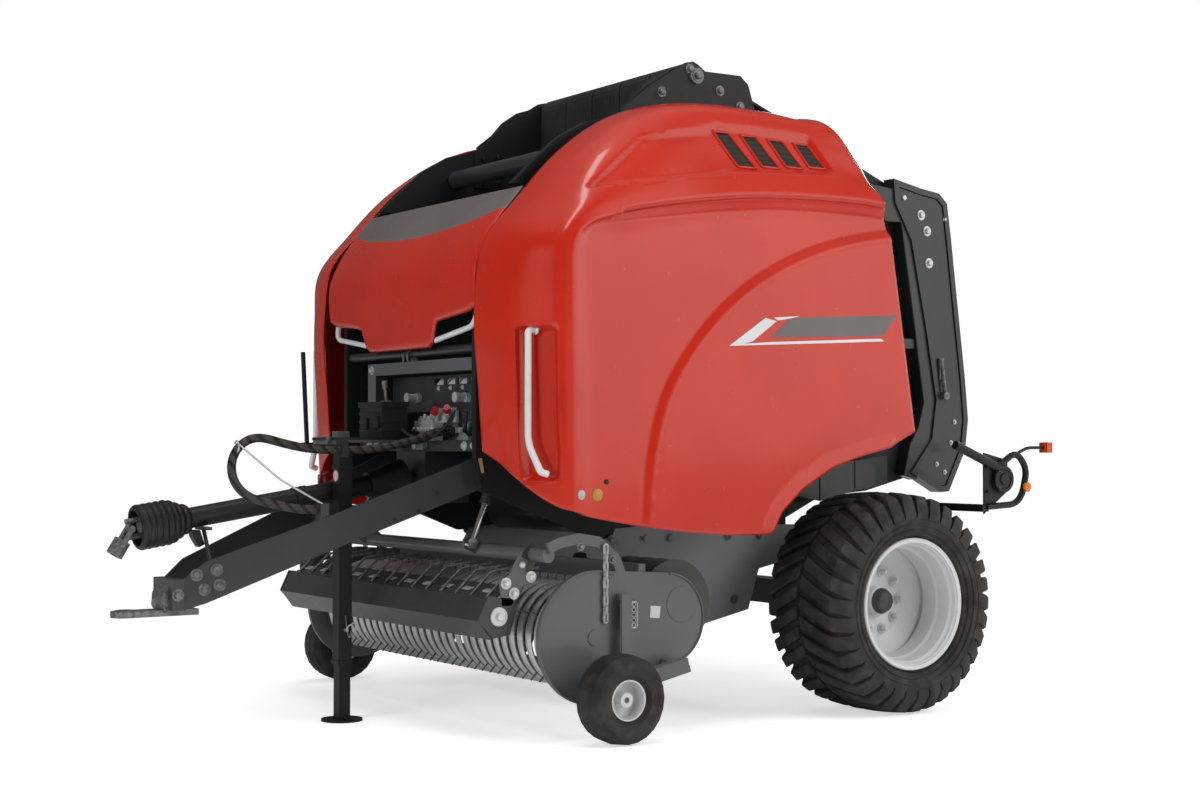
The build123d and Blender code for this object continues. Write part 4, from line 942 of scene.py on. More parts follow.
coverTrim = {
    "stripe": [(-672, 1707), (-557, 1798), (94, 1835), (3, 1734)],
    "swoosh": [[(-906, 1662), (-702, 1792), (-632, 1784), (-783, 1680)],
               [(-702, 1792), (-504, 1808), (-557, 1795), (-632, 1784)],
               [(-906, 1662), (-783, 1680), (-10, 1722), (9, 1709)]],
    "reflectors": [((-1583, 1020), 27, "bronze"), ((-1537, 1074), 11, "plastic"),
                   ((-1672, 1021), 20, "clear")],
    "knuckle": {"x": (747, 793), "half": 29, "z": (2668, 2752)},
}


def drawSwoosh(shape):
    for index, outline in enumerate(coverTrim["swoosh"]):
        skinPatch(shape, outline, 0.7 + 0.2 * index)


def drawReflector(shape, y, z, radius):
    seat, normal = onSkin(y, z)
    addTurned(shape, [(-4, 0.1), (-4, radius), (3, radius), (6, radius - 4), (7, 0.1)], seat,
              normal, 36, closed=False)


def drawKnuckles(shape):
    knuckle = coverTrim["knuckle"]
    for y in coverShell["hinges"]:
        addBlock(shape, *knuckle["x"], y - knuckle["half"], y + knuckle["half"], *knuckle["z"])


bothSides(drawCover, "cover_{}_shell", "red", "door_{}", slot="red_paint",
          replaces=("cover_{}",), thickness=coverShell["thickness"], angle=50)
bothSides(drawVents, "cover_{}_vents", "mesh", "door_{}", thickness=0.8)
bothSides(drawVentLips, "cover_{}_vent_lips", "red", "door_{}")
bothSides(drawSwoosh, "cover_{}_swoosh", "silver", "door_{}")
bothSides(skinPatch, "cover_{}_stripe", "bandGrey", "door_{}", coverTrim["stripe"], 1.0)
for index, (place, radius, paint) in enumerate(coverTrim["reflectors"]):
    bothSides(drawReflector, "cover_{}_round_" + str(index), paint, "door_{}", *place, radius)
bothSides(drawKnuckles, "cover_{}_knuckles", "dark", "door_{}", bevel=3)
print("stage: covers")


# Hood: a moulded panel with a grey band along its top and a tab at its lower edge
hoodPanel = {
    "half": 712,
    "thickness": 6,
    "lower": [(-1910, 1665), (-1919, 1770), (-1927, 1866)],
    "upper": [(-1927, 1866), (-1931, 1935), (-1925, 2008), (-1885, 2104), (-1812, 2216),
              (-1705, 2345)],
    "return": [(-1690, 2352), (-1668, 2340)],
    "edge": [(0, 1665), (284, 1665), (318, 1682), (352, 1760), (372, 1776), (420, 1783),
             (640, 1806), (712, 1826)],
    "band": [(0, 2176), (150, 2178), (480, 2206), (712, 2252)],
    "rows": (56, 16),
    "spacing": 12,        # of the stations across, and closer ones beside the lower tab
    "tabStations": range(284, 384, 5),
    "bulge": 9,
    "bandStep": 3,
    "sideRoll": (14, 16),     # how far the side edges roll to the rear, and over what width
    "lowerRoll": (10, 12),
}


def valueAt(table, x):
    # the value at x in a table of (place, value) pairs
    for (ax, az), (bx, bz) in zip(table, table[1:]):
        if x <= bx:
            return az + (bz - az) * (x - ax) / (bx - ax)
    return table[-1][1]


def drawHood(shape):
    lower = evenPath([(y, z, 0) for y, z in hoodPanel["lower"]], 12, smooth=False)
    curve = smoothLine([(y, z, 0) for y, z in hoodPanel["upper"]])[0]
    profile = [(p.y, p.x) for p in lower + [curve(i / 60) for i in range(1, 61)]]
    half, (below, above) = hoodPanel["half"], hoodPanel["rows"]
    top = hoodPanel["upper"][-1][1]
    (deep, wide), (lowDeep, high) = hoodPanel["sideRoll"], hoodPanel["lowerRoll"]
    spacing = hoodPanel["spacing"]
    stations = sorted({-half + i * spacing for i in range(int(2 * half / spacing) + 1)} | {half}
                      | {side * x for x in hoodPanel["tabStations"] for side in (-1, 1)})
    rows = []
    for x in stations:
        low, band = valueAt(hoodPanel["edge"], abs(x)), valueAt(hoodPanel["band"], abs(x))
        heights = [low + (band - low) * i / below for i in range(below + 1)]
        heights += [band + 2 + (top - band - 2) * i / above for i in range(above + 1)]
        row = []
        for index, z in enumerate(heights):
            bulge = hoodPanel["bulge"] * (1 - (x / half) ** 2)
            step = hoodPanel["bandStep"] if index > below else 0
            rolled = deep * smoothStep(abs(x), half - wide, half)
            rolled += lowDeep * smoothStep(low + high - z, 0, high)
            row.append(Vector((x, valueAt(profile, z) - bulge + step + rolled, z)))
        row += [Vector((x, y, z)) for y, z in hoodPanel["return"]]
        rows.append(row)
    addSheet(shape, rows)
    shape.verts.index_update()
    width = len(rows[0])
    for face in shape.faces:
        if min(corner.index % width for corner in face.verts) >= below:
            face.material_index = 1
    if sum(face.normal.y for face in shape.faces) > 0:
        bmesh.ops.reverse_faces(shape, faces=shape.faces)


def drawEars(shape):
    outline = [(-1690, 2250), (-1700, 2325), (-1640, 2290), (-1630, 2262), (-1650, 2245)]
    for side in (-1, 1):
        addPrism(shape, outline, side * 565, side * 590)


onePiece(drawHood, "hood_panel", ["red", "bandGrey"], "hood", slot="red_paint",
         replaces=("hood",), thickness=hoodPanel["thickness"], angle=50)
onePiece(drawEars, "hood_ears", "dark", "hood", bevel=3)
print("stage: hood")


# Main wheels: a carcass with bulged walls and two rows of slanted lugs, and the rim's trim
wheelCentre = (1135, 0, 505)
tyreTread = {
    "radius": 505,
    "crown": (210, 13.3),       # how far out the crown reaches, and what it falls by there
    "shoulder": (40.5, 66.7),   # the same for the shoulder outside it
    "count": 34,
    "lean": 25,
    "width": 58,
    "stations": [8, 40, 80, 120, 160, 195, 210, 222, 236, 250.5],
    "profile": [(-212, 287), (-213, 303), (-232, 316), (-244, 350), (-249, 385), (-240, 412),
                (-228, 430), (-214, 452), (-190, 466), (-130, 474), (-60, 478), (0, 479)],
    "rings": [(-243.5, 334), (-248.5, 362)],
}


def crownAt(x):
    # radius of the lugs' tops, and of the shoulder where they turn down
    (edge, fall), (width, drop) = tyreTread["crown"], tyreTread["shoulder"]
    if x < edge:
        return tyreTread["radius"] - fall * (x / edge) ** 2
    return tyreTread["radius"] - fall - drop * ((x - edge) / width)


def addLug(shape, row, base):
    # row is -1 or 1 for the two halves of the tread, base the lug's angle round the axle
    lean = math.tan(math.radians(tyreTread["lean"])) / tyreTread["radius"]
    stations = tyreTread["stations"]
    points = []
    for x in stations:
        top = crownAt(x)
        half = tyreTread["width"] / 2 * (1.0 + 0.12 * smoothStep(x, 120, 240))
        turn = base + x * lean
        inward = 7 if x in (stations[0], stations[-1]) else 0
        outline = [(-half, top - 38), (-half + 1, top - 7), (-half + 7, top - inward),
                   (half - 7, top - inward), (half - 1, top - 7), (half, top - 38)]
        for along, out in outline:
            # the tyre turns about x, so the lug's place is turned from straight up
            points.append(Vector(wheelCentre) + Vector((
                row * x, along * math.cos(turn) - out * math.sin(turn),
                along * math.sin(turn) + out * math.cos(turn))))
    faces = [list(range(6)), list(range(len(points) - 6, len(points)))[::-1]]
    for i in range(len(stations) - 1):
        a = i * 6
        faces += [[a + k, a + k + 6, a + k + 7, a + k + 1] for k in range(5)]
        faces.append([a, a + 5, a + 11, a + 6])
    addFaces(shape, points, faces)


def drawTyre(shape):
    half, count = tyreTread["profile"], tyreTread["count"]
    addTurned(shape, half + [(-x, r) for x, r in half[-2::-1]], wheelCentre, steps=128)
    for x, radius in tyreTread["rings"]:
        for face in (-1, 1):
            ring = [(face * x, radius - 5), (face * (x - 3), radius), (face * x, radius + 5)]
            addTurned(shape, ring, wheelCentre, steps=128)
    for row in (-1, 1):
        for index in range(count):
            addLug(shape, row, math.radians((index + row / 4) * 360 / count))


wheelTrim = {
    "nutCircle": 138,
    "nuts": 10,
    "nutSeat": -36,
    # steps inside the rim's barrel, from its outer flange inwards
    "liner": [(224, 285), (229, 296), (225, 300), (217, 297), (212, 280), (192, 272), (184, 263),
              (120, 259), (108, 250), (26, 247), (26, 273.5), (210, 273.5)],
    "cap": [(9, 60), (15, 60), (19, 55), (35, 50), (43, 40), (45, 0.1)],
}


def drawNuts(shape):
    # each nut with the end of its stud
    x, y, z = wheelCentre
    for spot in arc(x + wheelTrim["nutSeat"], y, z, wheelTrim["nutCircle"], 0, 360,
                    wheelTrim["nuts"])[1:]:
        addBolts(shape, [spot], (1, 0, 0), 26, 22)
        addBar(shape, spot, Vector(spot) + Vector((34, 0, 0)), 8.5, 12)


bothSides(drawTyre, "tyre_{}_tread", "tyre", "wheel_{}", slot="tyre_rubber",
          replaces=("tyre_{}",), angle=34)
bothSides(drawNuts, "wheel_{}_nuts", "plated", "wheel_{}")
bothSides(addTurned, "wheel_{}_liner", "silver", "wheel_{}", wheelTrim["liner"], wheelCentre,
          (1, 0, 0), 96, angle=30)
bothSides(addTurned, "wheel_{}_cap", "dark", "wheel_{}", wheelTrim["cap"], wheelCentre,
          (1, 0, 0), 48, False, bevel=1.5)
print("stage: main wheels")


# Tailgate: flat web in each channel, an inner channel beside the cover, bolts and the latch
gateTrim = {
    "face": 708,          # outside of the rim's web
    "rim": [(803, 988), (859, 992), (974, 1202), (996, 1357), (976, 1563), (921, 1975),
            (881, 2282), (854, 2461), (798, 2509), (672, 2525), (488, 2561), (500, 2440),
            (608, 2259), (708, 1809), (775, 1456), (743, 1256), (600, 1090)],
    "channel": [(560, 1075), (643, 1052), (740, 1177), (790, 1330), (797, 1456), (751, 1796),
                (690, 2133), (644, 2475), (610, 2513), (549, 2508), (242, 2534), (132, 2609),
                (242, 2475), (407, 2432), (440, 2345), (548, 2347), (640, 1803), (652, 1715),
                (672, 1600), (697, 1442), (660, 1320), (600, 1230)],
    "bridge": [(520, 1765), (650, 1765), (650, 1712), (530, 1712)],
    "bolts": [(678, 2391), (719, 2312), (732, 2150)],
    "smallBolts": [(842, 2380), (905, 1345), (880, 1240), (780, 1131), (835, 1090)],
    "topBolt": (704, 560, 2470),
}


def drawGateChannel(shape):
    addPrism(shape, gateTrim["channel"], 640, 704)
    addPrism(shape, gateTrim["bridge"], 640, 690)


def drawGateBolts(shape):
    sideBolts(shape, gateTrim["face"], gateTrim["bolts"], 27, 15)
    sideBolts(shape, gateTrim["face"], gateTrim["smallBolts"], 13, 8)
    addBolts(shape, [gateTrim["topBolt"]], (1, 0, 0), 24, 12)


def drawGateLatch(shape):
    face = gateTrim["face"]
    addBlock(shape, face, face + 14, 792, 822, 1560, 1668)
    addBar(shape, (face + 10, 806, 1640), (face + 22, 818, 1500), 11)
    addBar(shape, (face, 822, 1478), (face + 34, 822, 1478), 20, 24)
    sideBolts(shape, face + 14, [(800, 1652), (812, 1606)], 13, 8)


# Grab bars: one up each cover's front with a cap on its upper end, and two on the hood
grabBar = {
    "door": [(1020, -1816, 1712), (1020, -1850, 1706), (1020, -1850, 1235), (1100, -1838, 1116),
             (1102, -1806, 1108)],
    "doorRadius": 14.5,
    "hood": [(684, -1888, 1832), (662, -1904, 1742), (320, -1901, 1694)],
    "hoodRadius": 12.5,
}


def drawDoorBar(shape):
    addPipe(shape, bendPath(grabBar["door"], 46, 8), grabBar["doorRadius"], 20)
    addDisc(shape, (1020, -1812, 1712), (0, -1, 0), 24, 8, 28, 3)


# the plated bars are drawn in pale silver enamel: their pale colour is painted reflection of the
# bright plated steel
bothSides(drawDoorBar, "grab_bar_{}", "silver", "door_{}", slot="plated",
          replaces=("door_handle_{}",))
bothSides(addPipe, "hood_bar_{}", "silver", "hood", bendPath(grabBar["hood"], 60, 8),
          grabBar["hoodRadius"], 18, slot="plated", replaces=("hood_handles",))
print("stage: grab bars")

bothSides(addPrism, "gate_web_{}", "dark", "tailgate", inset(gateTrim["rim"], 31), 669,
          gateTrim["face"], bevel=3)
bothSides(drawGateChannel, "gate_channel_{}", "dark", "tailgate", bevel=4)
bothSides(drawGateBolts, "gate_bolts_{}", "plated", "tailgate")
bothSides(drawGateLatch, "gate_latch_{}", "worn", "tailgate", bevel=2)
print("stage: tailgate")


# Walls and chassis: bolts, a bolted plate at the top, folded panels beside the tyres, and the
# straps that hold the axle
wallTrim = {
    "face": 652,          # outside of the wall and the chassis
    "lobePlate": [(-1170, 2535), (-985, 2545), (-985, 2735), (-1170, 2715)],
    "lobeBolts": [(-1118, 2684), (-1035, 2702), (-1118, 2566), (-1034, 2573), (-1076, 2636)],
    "apexBolts": [(-735, 2985), (-439, 2836), (-560, 2900), (-900, 2860)],
    "fold": [(-300, 1010), (12, 956), (250, 1006), (449, 1035), (449, 1175), (237, 1150),
             (108, 1140), (12, 1100), (-300, 1085)],
    "seams": [(12, 956, 1100), (237, 1006, 1150)],
    "chassisBolts": [(-1180, 800), (-1000, 800), (-860, 800), (-520, 800), (-330, 800),
                     (-1180, 470), (-760, 440), (-720, 440), (-480, 500)],
}


def drawLobePlate(shape):
    # inside face of the wall, where the photograph looks past the hood
    addPrism(shape, wallTrim["lobePlate"], 597, 605)
    addBolts(shape, [(597, y, z) for y, z in wallTrim["lobeBolts"]], (-1, 0, 0), 22, 12)


def drawApexBolts(shape):
    face = wallTrim["face"]
    sideBolts(shape, face, wallTrim["apexBolts"], 26, 14)
    addDisc(shape, (face, -700, 2955), (1, 0, 0), 38, 12)
    sideBolts(shape, face + 12, [(-700, 2955)], 30, 14)


def drawFold(shape):
    addPrism(shape, wallTrim["fold"], 696, 701)
    for y, low, high in wallTrim["seams"]:
        addBlock(shape, 701, 706, y - 4, y + 22, low + 6, high - 6)
    for y in (-290, -200):
        addBlock(shape, 640, 697, y, y + 40, 1030, 1060)


def drawAxleStraps(shape):
    # two bolts and the plates above and below the axle beam at each strap
    for x in (560, 700, 800):
        for y in (-82, 82):
            addBar(shape, (x, y, 425), (x, y, 600), 9, 12)
        for low in (433, 565.5):
            addBlock(shape, x - 22, x + 22, -98, 98, low, low + 11.5)


bothSides(drawLobePlate, "wall_lobe_plate_{}", "black", "frame", bevel=1)
bothSides(drawApexBolts, "wall_apex_bolts_{}", "worn", "frame")
bothSides(drawFold, "wall_fold_{}", "dark", "frame", bevel=1)
bothSides(sideBolts, "chassis_bolts_{}", "worn", "frame", wallTrim["face"],
          wallTrim["chassisBolts"], 24, 12)
bothSides(drawAxleStraps, "axle_straps_{}", "black", "frame", bevel=1)
print("stage: walls")


# Rear lamps: a round housing on each board, its lens to the rear, and the side markers
rearLight = {
    "board": [(722, 890), (895, 1006), (883, 1154), (722, 1190)],
    "centre": (1110, 840, 1060),
    "screws": 4,
    "tail": (1034, 880, 1060),
    "amber": (1125, 985, 1020),
    "marker": (1105, 1145, 1215),
}


def drawCarrier(shape):
    # the board with its arm, its hoop guard, the marker's stay and the bracket behind the wheel
    chassis = wallTrim["face"]
    addPrism(shape, rearLight["board"], 1085, 1095)
    addPipe(shape, [(1105, 517, 1228), (1105, 524, 1226), (1105, 822, 1110)], 22, 22)
    addPipe(shape, bendPath([(1107, 800, 1118), (1107, 930, 1196), (1107, 1008, 1110),
                             (1107, 960, 938), (1107, 722, 926)], 90, 8), 16, 18)
    addPipe(shape, bendPath([(1105, 925, 1180), (1105, 1010, 1214), (1105, 1130, 1215)], 30, 5),
            8, 14)
    addBlock(shape, chassis, 1112, 694, 736, 902, 938)
    addBlock(shape, chassis, 697, 20, 740, 640, 680)
    addBlock(shape, chassis, 697, 690, 740, 680, 940)
    for y, z in ((740, 1120), (740, 1000), (860, 1120)):
        addBar(shape, (1094, y, z), (1110, y, z), 8, 6)


def drawLampBack(shape):
    # round housing on the board, and the tail lamp's bowl on its bracket with its cable
    x, y, z = rearLight["centre"]
    addTurned(shape, [(-2, 0.1), (-2, 66), (6, 66), (10, 62), (10, 48), (4, 44), (4, 30), (12, 26),
                      (12, 0.1)], (x, y, z), (1, 0, 0), 44, closed=False)
    x, y, z = rearLight["tail"]
    addTurned(shape, [(0, 0.1), (0, 34), (14, 50), (34, 52), (34, 0.1)], (x, y - 20, z), (0, 1, 0),
              44, closed=False)
    addBlock(shape, x + 20, 1086, y - 8, y + 8, z - 16, z + 16)
    addBar(shape, (x, y - 15, z), (1086, 790, 990), 5, 12)


def drawLampScrews(shape):
    x, y, z = rearLight["centre"]
    for index in range(rearLight["screws"]):
        turn = math.pi / 4 + index * math.pi / 2
        addBolts(shape, [(x + 10, y + 55 * math.cos(turn), z + 55 * math.sin(turn))], (1, 0, 0),
                 8, 5, washer=False)


def drawTailLens(shape):
    x, y, z = rearLight["tail"]
    addTurned(shape, [(13, 0.1), (13, 48), (19, 46), (25, 36), (28, 0.1)], (x, y, z), (0, 1, 0), 44,
              closed=False)


def drawMarker(shape):
    x, y, z = rearLight["marker"]
    addBlock(shape, x - 26, x + 26, y - 20.5, y + 21.5, z - 26, z + 26)


bothSides(drawCarrier, "lamp_carrier_{}", "black", "frame", slot="dark_paint", bevel=2,
          replaces=("lamp_carriers",))
bothSides(drawLampBack, "lamp_housing_{}", "plastic", "frame", bevel=1)
bothSides(drawLampScrews, "lamp_screws_{}", "worn", "frame")
bothSides(drawTailLens, "lamp_tail_{}", "redLens", "frame")
bothSides(addDisc, "lamp_amber_{}", "amber", "frame", rearLight["amber"], (1, 0, 0), 24, 12, 32, 4)
bothSides(drawMarker, "lamp_marker_{}", "orange", "frame", bevel=4)
print("stage: rear lamps")


# Pick-up: the chain, caps, bolts and rims on the side plates, a framed grid of collars, round
# skins on the stripper bands and a blank label
pickupTrim = {
    "face": 1100,         # outside of the side plates
    "reel": (-1570, 420),
    "chain": (1113, -1523, 806),
    "pitch": 35.5,
    "links": 9,
    "wire": 5.8,
    "label": (1100, -1259, 513),
    "sideBolts": [(-1480, 745), (-1640, 805)],
    "caps": [(-1570, 420, 34, 5), (-1120, 540, 78, 3)],
    "screen": (-1455, -1368, 452, 566),
    "screenSides": (1123.5, 1126),
    "bandProfile": 7,
}


def drawChain(shape):
    x, y, top = pickupTrim["chain"]
    for index in range(pickupTrim["links"]):
        middle = top - (index + 0.5) * pickupTrim["pitch"]
        route = []
        for step in range(17):
            turn = 2 * math.pi * step / 16
            across, up = 8 * math.cos(turn), 8 * math.sin(turn)
            up += 14 if up > 0.01 else -14 if up < -0.01 else 0
            if index % 2:
                route.append((x + across, y, middle + up))
            else:
                route.append((x, y + across, middle + up))
        addPipe(shape, route, pickupTrim["wire"], 8)


def drawSideCaps(shape):
    # blank covers over the reel's and the rotor's bearings
    for y, z, radius, height in pickupTrim["caps"]:
        addDisc(shape, (pickupTrim["face"], y, z), (1, 0, 0), radius, height, 48, 1)


def drawScreen(shape):
    # bright border and punched collars of the perforated plate
    y0, y1, z0, z1 = pickupTrim["screen"]
    for edge in ((y0, y1, z0, z0 + 5), (y0, y1, z1 - 5, z1), (y0, y0 + 5, z0, z1),
                 (y1 - 5, y1, z0, z1)):
        addBlock(shape, *pickupTrim["screenSides"], *edge)
    for row in range(5):
        for column in range(3):
            addTurned(shape, [(-1, 7), (-1, 10), (1.6, 10), (1.6, 7)],
                      (1124, -1434 + column * 23, 465 + row * 22), (1, 0, 0), 20)


def drawBandSkins(shape):
    # each stripper band is rolled slightly round across its width
    bulge, (reelY, reelZ) = pickupTrim["bandProfile"], pickupTrim["reel"]
    path = [(-1340, 636)] + [(y, z) for x, y, z in arc(0, reelY, reelZ, 216, 90, 270, 24)]
    path.append((-1340, 204))
    for index in range(30):
        middle = (index - 14.5) * 68
        rows = []
        for y, z in path:
            out = Vector((0, y - reelY if y < reelY + 10 else 0, z - reelZ)).normalized()
            rows.append([Vector((middle + 22 * u, y, z)) + out * (0.3 + bulge * (1 - u * u))
                         for u in (-1, -0.7, -0.35, 0, 0.35, 0.7, 1)])
        addSheet(shape, rows)


def drawLabel(shape):
    x, y, z = pickupTrim["label"]
    corners = [(y, z) for x, y, z in arc(x, y, z, 36, 40, 310, 3)]
    addPrism(shape, corners, x - 0.5, x + 1.2)


def drawSideRim(shape):
    # rolled edge round the front of each side plate, and the fold down its middle
    x = pickupTrim["face"] + 3
    addPipe(shape, arc(x, *pickupTrim["reel"], 279, 70, 270, 60), 4.5, 8)
    addPipe(shape, arc(x, -1200, 480, 196, -80, 85, 40), 4.5, 8)


bothSides(drawChain, "pickup_chain_{}", "galvanised", "pickup")
bothSides(sideBolts, "pickup_side_bolts_{}", "worn", "pickup", pickupTrim["face"],
          pickupTrim["sideBolts"], 20, 10)
bothSides(drawSideCaps, "pickup_side_caps_{}", "grey", "pickup")
bothSides(drawScreen, "pickup_screen_{}", "galvanised", "pickup")
onePiece(drawBandSkins, "pickup_band_skins", "plated", "pickup", slot="galvanised")
bothSides(drawLabel, "pickup_label_{}", "white", "pickup")
bothSides(drawSideRim, "pickup_side_rim_{}", "grey", "pickup")
print("stage: pick-up")


# Wind guard: slotted strip on top of the beam, finer comb rods, bolts and the roller's ends
guardTrim = {
    "half": 960,
    "plate": (970, 978),  # inside and outside of the arm plates
    "strip": [(-1990, 598), (-1880, 640), (-1876, 634), (-1988, 590)],
    "arm": [(-1952, 560), (-1960, 660), (-1915, 690), (-1868, 770), (-1822, 748), (-1838, 700),
            (-1790, 690), (-1790, 655), (-1850, 640), (-1865, 600), (-1905, 560)],
    "slots": (11, 870),   # how many, and how far out the outermost ones are
    "rods": (15, 918),
    "bolts": [(-1853, 729), (-1809, 677), (-1892, 612), (-1931, 655)],
    "roller": (-1966, 519),
}


def drawGuardRods(shape):
    # sleeves over the comb rods
    for x in evenly(*guardTrim["rods"]):
        addPipe(shape, [(x, -1990, 596), (x, -1890, 690), (x, -1735, 712)], 6.2, 10)


def drawGuardSlots(shape):
    for x in evenly(*guardTrim["slots"]):
        addPrism(shape, [(-1962, 613), (-1938, 622), (-1938, 626), (-1962, 617)], x - 34, x + 34)


def drawGuardBolts(shape):
    # the uppermost bolt's head is let into the plate
    inside, outside = guardTrim["plate"]
    for y, z in guardTrim["bolts"]:
        sideBolts(shape, outside if z < 700 else inside, [(y, z)], 26, 13)


def drawRollerEnd(shape):
    outside = guardTrim["plate"][1]
    addDisc(shape, (outside, *guardTrim["roller"]), (1, 0, 0), 40, 8, 40, 2)
    addDisc(shape, (outside + 8, *guardTrim["roller"]), (1, 0, 0), 17, 16, 24, 2)


onePiece(addPrism, "guard_comb", "dark", "wind_guard", guardTrim["strip"], -guardTrim["half"],
         guardTrim["half"])
onePiece(drawGuardRods, "guard_rods", "worn", "wind_guard")
onePiece(drawGuardSlots, "guard_slots", "plated", "wind_guard")
bothSides(addPrism, "guard_arm_{}", "grey", "wind_guard", guardTrim["arm"],
          *guardTrim["plate"], bevel=2)
bothSides(drawGuardBolts, "guard_bolts_{}", "plated", "wind_guard")
bothSides(drawRollerEnd, "guard_roller_end_{}", "plated", "guard_roller", bevel=1)
print("stage: wind guard")


# Front bay: valves, couplings, lines, console, latch and the louvre plate's screws
bayTrim = {
    "coilRow": -1680,
    "blockFace": -1741,   # front of the valve block, the louvre plate, the beam and the hoop
    "louvreFace": -1790,
    "beamFace": -1810,
    "hoopFace": -1880,
    "coils": [(178, 1330), (214, 1330), (250, 1330), (286, 1330)],
    "couplings": [(420, 1440), (-31, 1446)],
    "caps": [((150, -1832, 1330), (204, -1842, 1376)), ((262, -1806, 1350), (319, -1842, 1384))],
    "slices": [44, 80, 116, 152, 188],
    # both ends of each line and how far it hangs through
    "lines": [((180, -1742, 1312), (96, -1972, 1245), 30),
              ((206, -1742, 1278), (70, -1885, 1262), 14),
              ((300, -1742, 1300), (400, -1788, 1470), 70),
              ((322, -1742, 1284), (470, -1788, 1440), 60),
              ((262, -1742, 1310), (330, -1788, 1492), 50),
              ((110, -1960, 1300), (330, -1788, 1400), 90),
              ((-60, -1930, 1330), (-200, -1742, 1245), 60),
              ((0, -1928, 1300), (120, -1788, 1420), 80)],
}


def drawCoils(shape):
    # coils on top of the valve block, their ports, and couplings with hexagon nuts
    row = bayTrim["coilRow"]
    for x, z in bayTrim["coils"]:
        addBar(shape, (x, row, z - 1), (x, row, z + 58), 15, 20)
        addStub(shape, (x, bayTrim["blockFace"], 1295), [(21, 13, 16)])
    addBlock(shape, 160, 320, row - 44, row + 42, 1329, 1338)
    for x, z in bayTrim["couplings"]:
        addStub(shape, (x, bayTrim["louvreFace"] + 1, z), [(23, 24, 6), (40, 19, 22), (10, 23, 22)])
    addStub(shape, (60, bayTrim["beamFace"] - 1, 1225), [(29, 22, 6), (32, 18, 20)])


def drawValveSlices(shape):
    # valve slices on the cross beam, and two plugged couplings beside them
    for index, x in enumerate(bayTrim["slices"]):
        top = 1338 + 10 * (index % 2)
        addBlock(shape, x - 16, x + 16, -1850, -1796, 1268, top)
        addBar(shape, (x, -1849, 1300), (x, -1868, 1300), 11, 6)
        addBar(shape, (x, -1824, top - 1), (x, -1824, top + 22), 9, 14)
    addBlock(shape, 30, 205, -1846, -1800, 1249, 1270)
    addBlock(shape, 150, 330, -1802, -1789, 1330, 1396)
    for start, end in bayTrim["caps"]:
        addBar(shape, start, end, 13, 18)
        middle = Vector(start).lerp(Vector(end), 0.5)
        addBar(shape, middle, Vector(start).lerp(Vector(end), 0.75), 17, 6)


def drawCaps(shape):
    # red plugs on the two couplings and on two of the coils
    for start, end in bayTrim["caps"]:
        start, end = Vector(start), Vector(end)
        addBar(shape, end - (end - start) * 0.05, end + (end - start) * 0.4, 19, 20, 14)
    row = bayTrim["coilRow"]
    for x, z in bayTrim["coils"][2:]:
        addBar(shape, (x, row, z + 56), (x, row, z + 78), 17, 20, 14)


def drawLines(shape):
    for start, end, drop in bayTrim["lines"]:
        addPipe(shape, sagging(start, end, drop), 8.5, 10)


def drawConsole(shape):
    # ribs, lid and blank panels of the control box
    for z in (1292, 1330, 1368):
        addBlock(shape, -113, 113, -2063, -1927, z, z + 8)
    addBlock(shape, -118, 118, -2066, -1924, 1400, 1424)
    addBlock(shape, -80, -20, -2072, -2060, 1300, 1350)
    addBlock(shape, 10, 84, -2070, -2060, 1304, 1356)
    addBlock(shape, -150, -110, -2040, -1960, 1262, 1350)


def drawLever(shape):
    addBar(shape, (40, -2000, 1420), (44, -2010, 1492), 8, 16)
    addBar(shape, (44, -2010, 1484), (46, -2014, 1520), 13, 18)
    addBlock(shape, 24, 58, -2022, -1980, 1420, 1430)


def drawShelfEdges(shape):
    # folded edges of the shelf under the control box
    addBlock(shape, -134, 132, -2282, -2274, 1232, 1264)
    addBlock(shape, 70, 132, -2270, -1900, 1238, 1250)
    addBlock(shape, 20, 70, -2262, -2200, 1262, 1290)
    addBar(shape, (45, -2290, 1246), (45, -2302, 1246), 16, 20)


def drawHoopFace(shape):
    # grey enamel face of the hoop's cross bar and of its upright
    face = bayTrim["hoopFace"]
    addBlock(shape, -380, 605, face - 1.5, face, 1555, 1610)
    addBlock(shape, -380, -300, face - 1.5, face, 1250, 1555)


def drawSlats(shape):
    # light slats behind the louvres
    for x in (105, 212, 318, 424):
        addPrism(shape, [(-1780.5, 1496), (-1780.5, 1499), (-1752, 1532), (-1748, 1530)],
                 x - 4, x + 92)


def drawLatch(shape):
    # the hood's catch: a plate with two bent wires
    addBlock(shape, -30, 30, -1842, -1828, 1600, 1668)
    for route in ([(-16, -1856, 1660), (-16, -1884, 1650), (-16, -1884, 1600), (-16, -1860, 1590)],
                  [(16, -1856, 1660), (16, -1880, 1655), (16, -1880, 1615), (16, -1858, 1606)]):
        addPipe(shape, bendPath(route, 14, 4), 6, 10)


def drawHoopBolts(shape):
    # on the hoop, the louvre plate and the beam
    hoop, louvre, beam = (bayTrim[key] for key in ("hoopFace", "louvreFace", "beamFace"))
    addBolts(shape, [(-340, hoop, z) for z in (1582, 1400)], (0, -1, 0), 22, 12)
    addBolts(shape, [(x, louvre, 1486) for x in (150, 260, 370, 480)], (0, -1, 0), 11, 7)
    addBolts(shape, [(x, beam, 1225) for x in (-500, -420, -340, 420, 500)], (0, -1, 0), 22, 12)


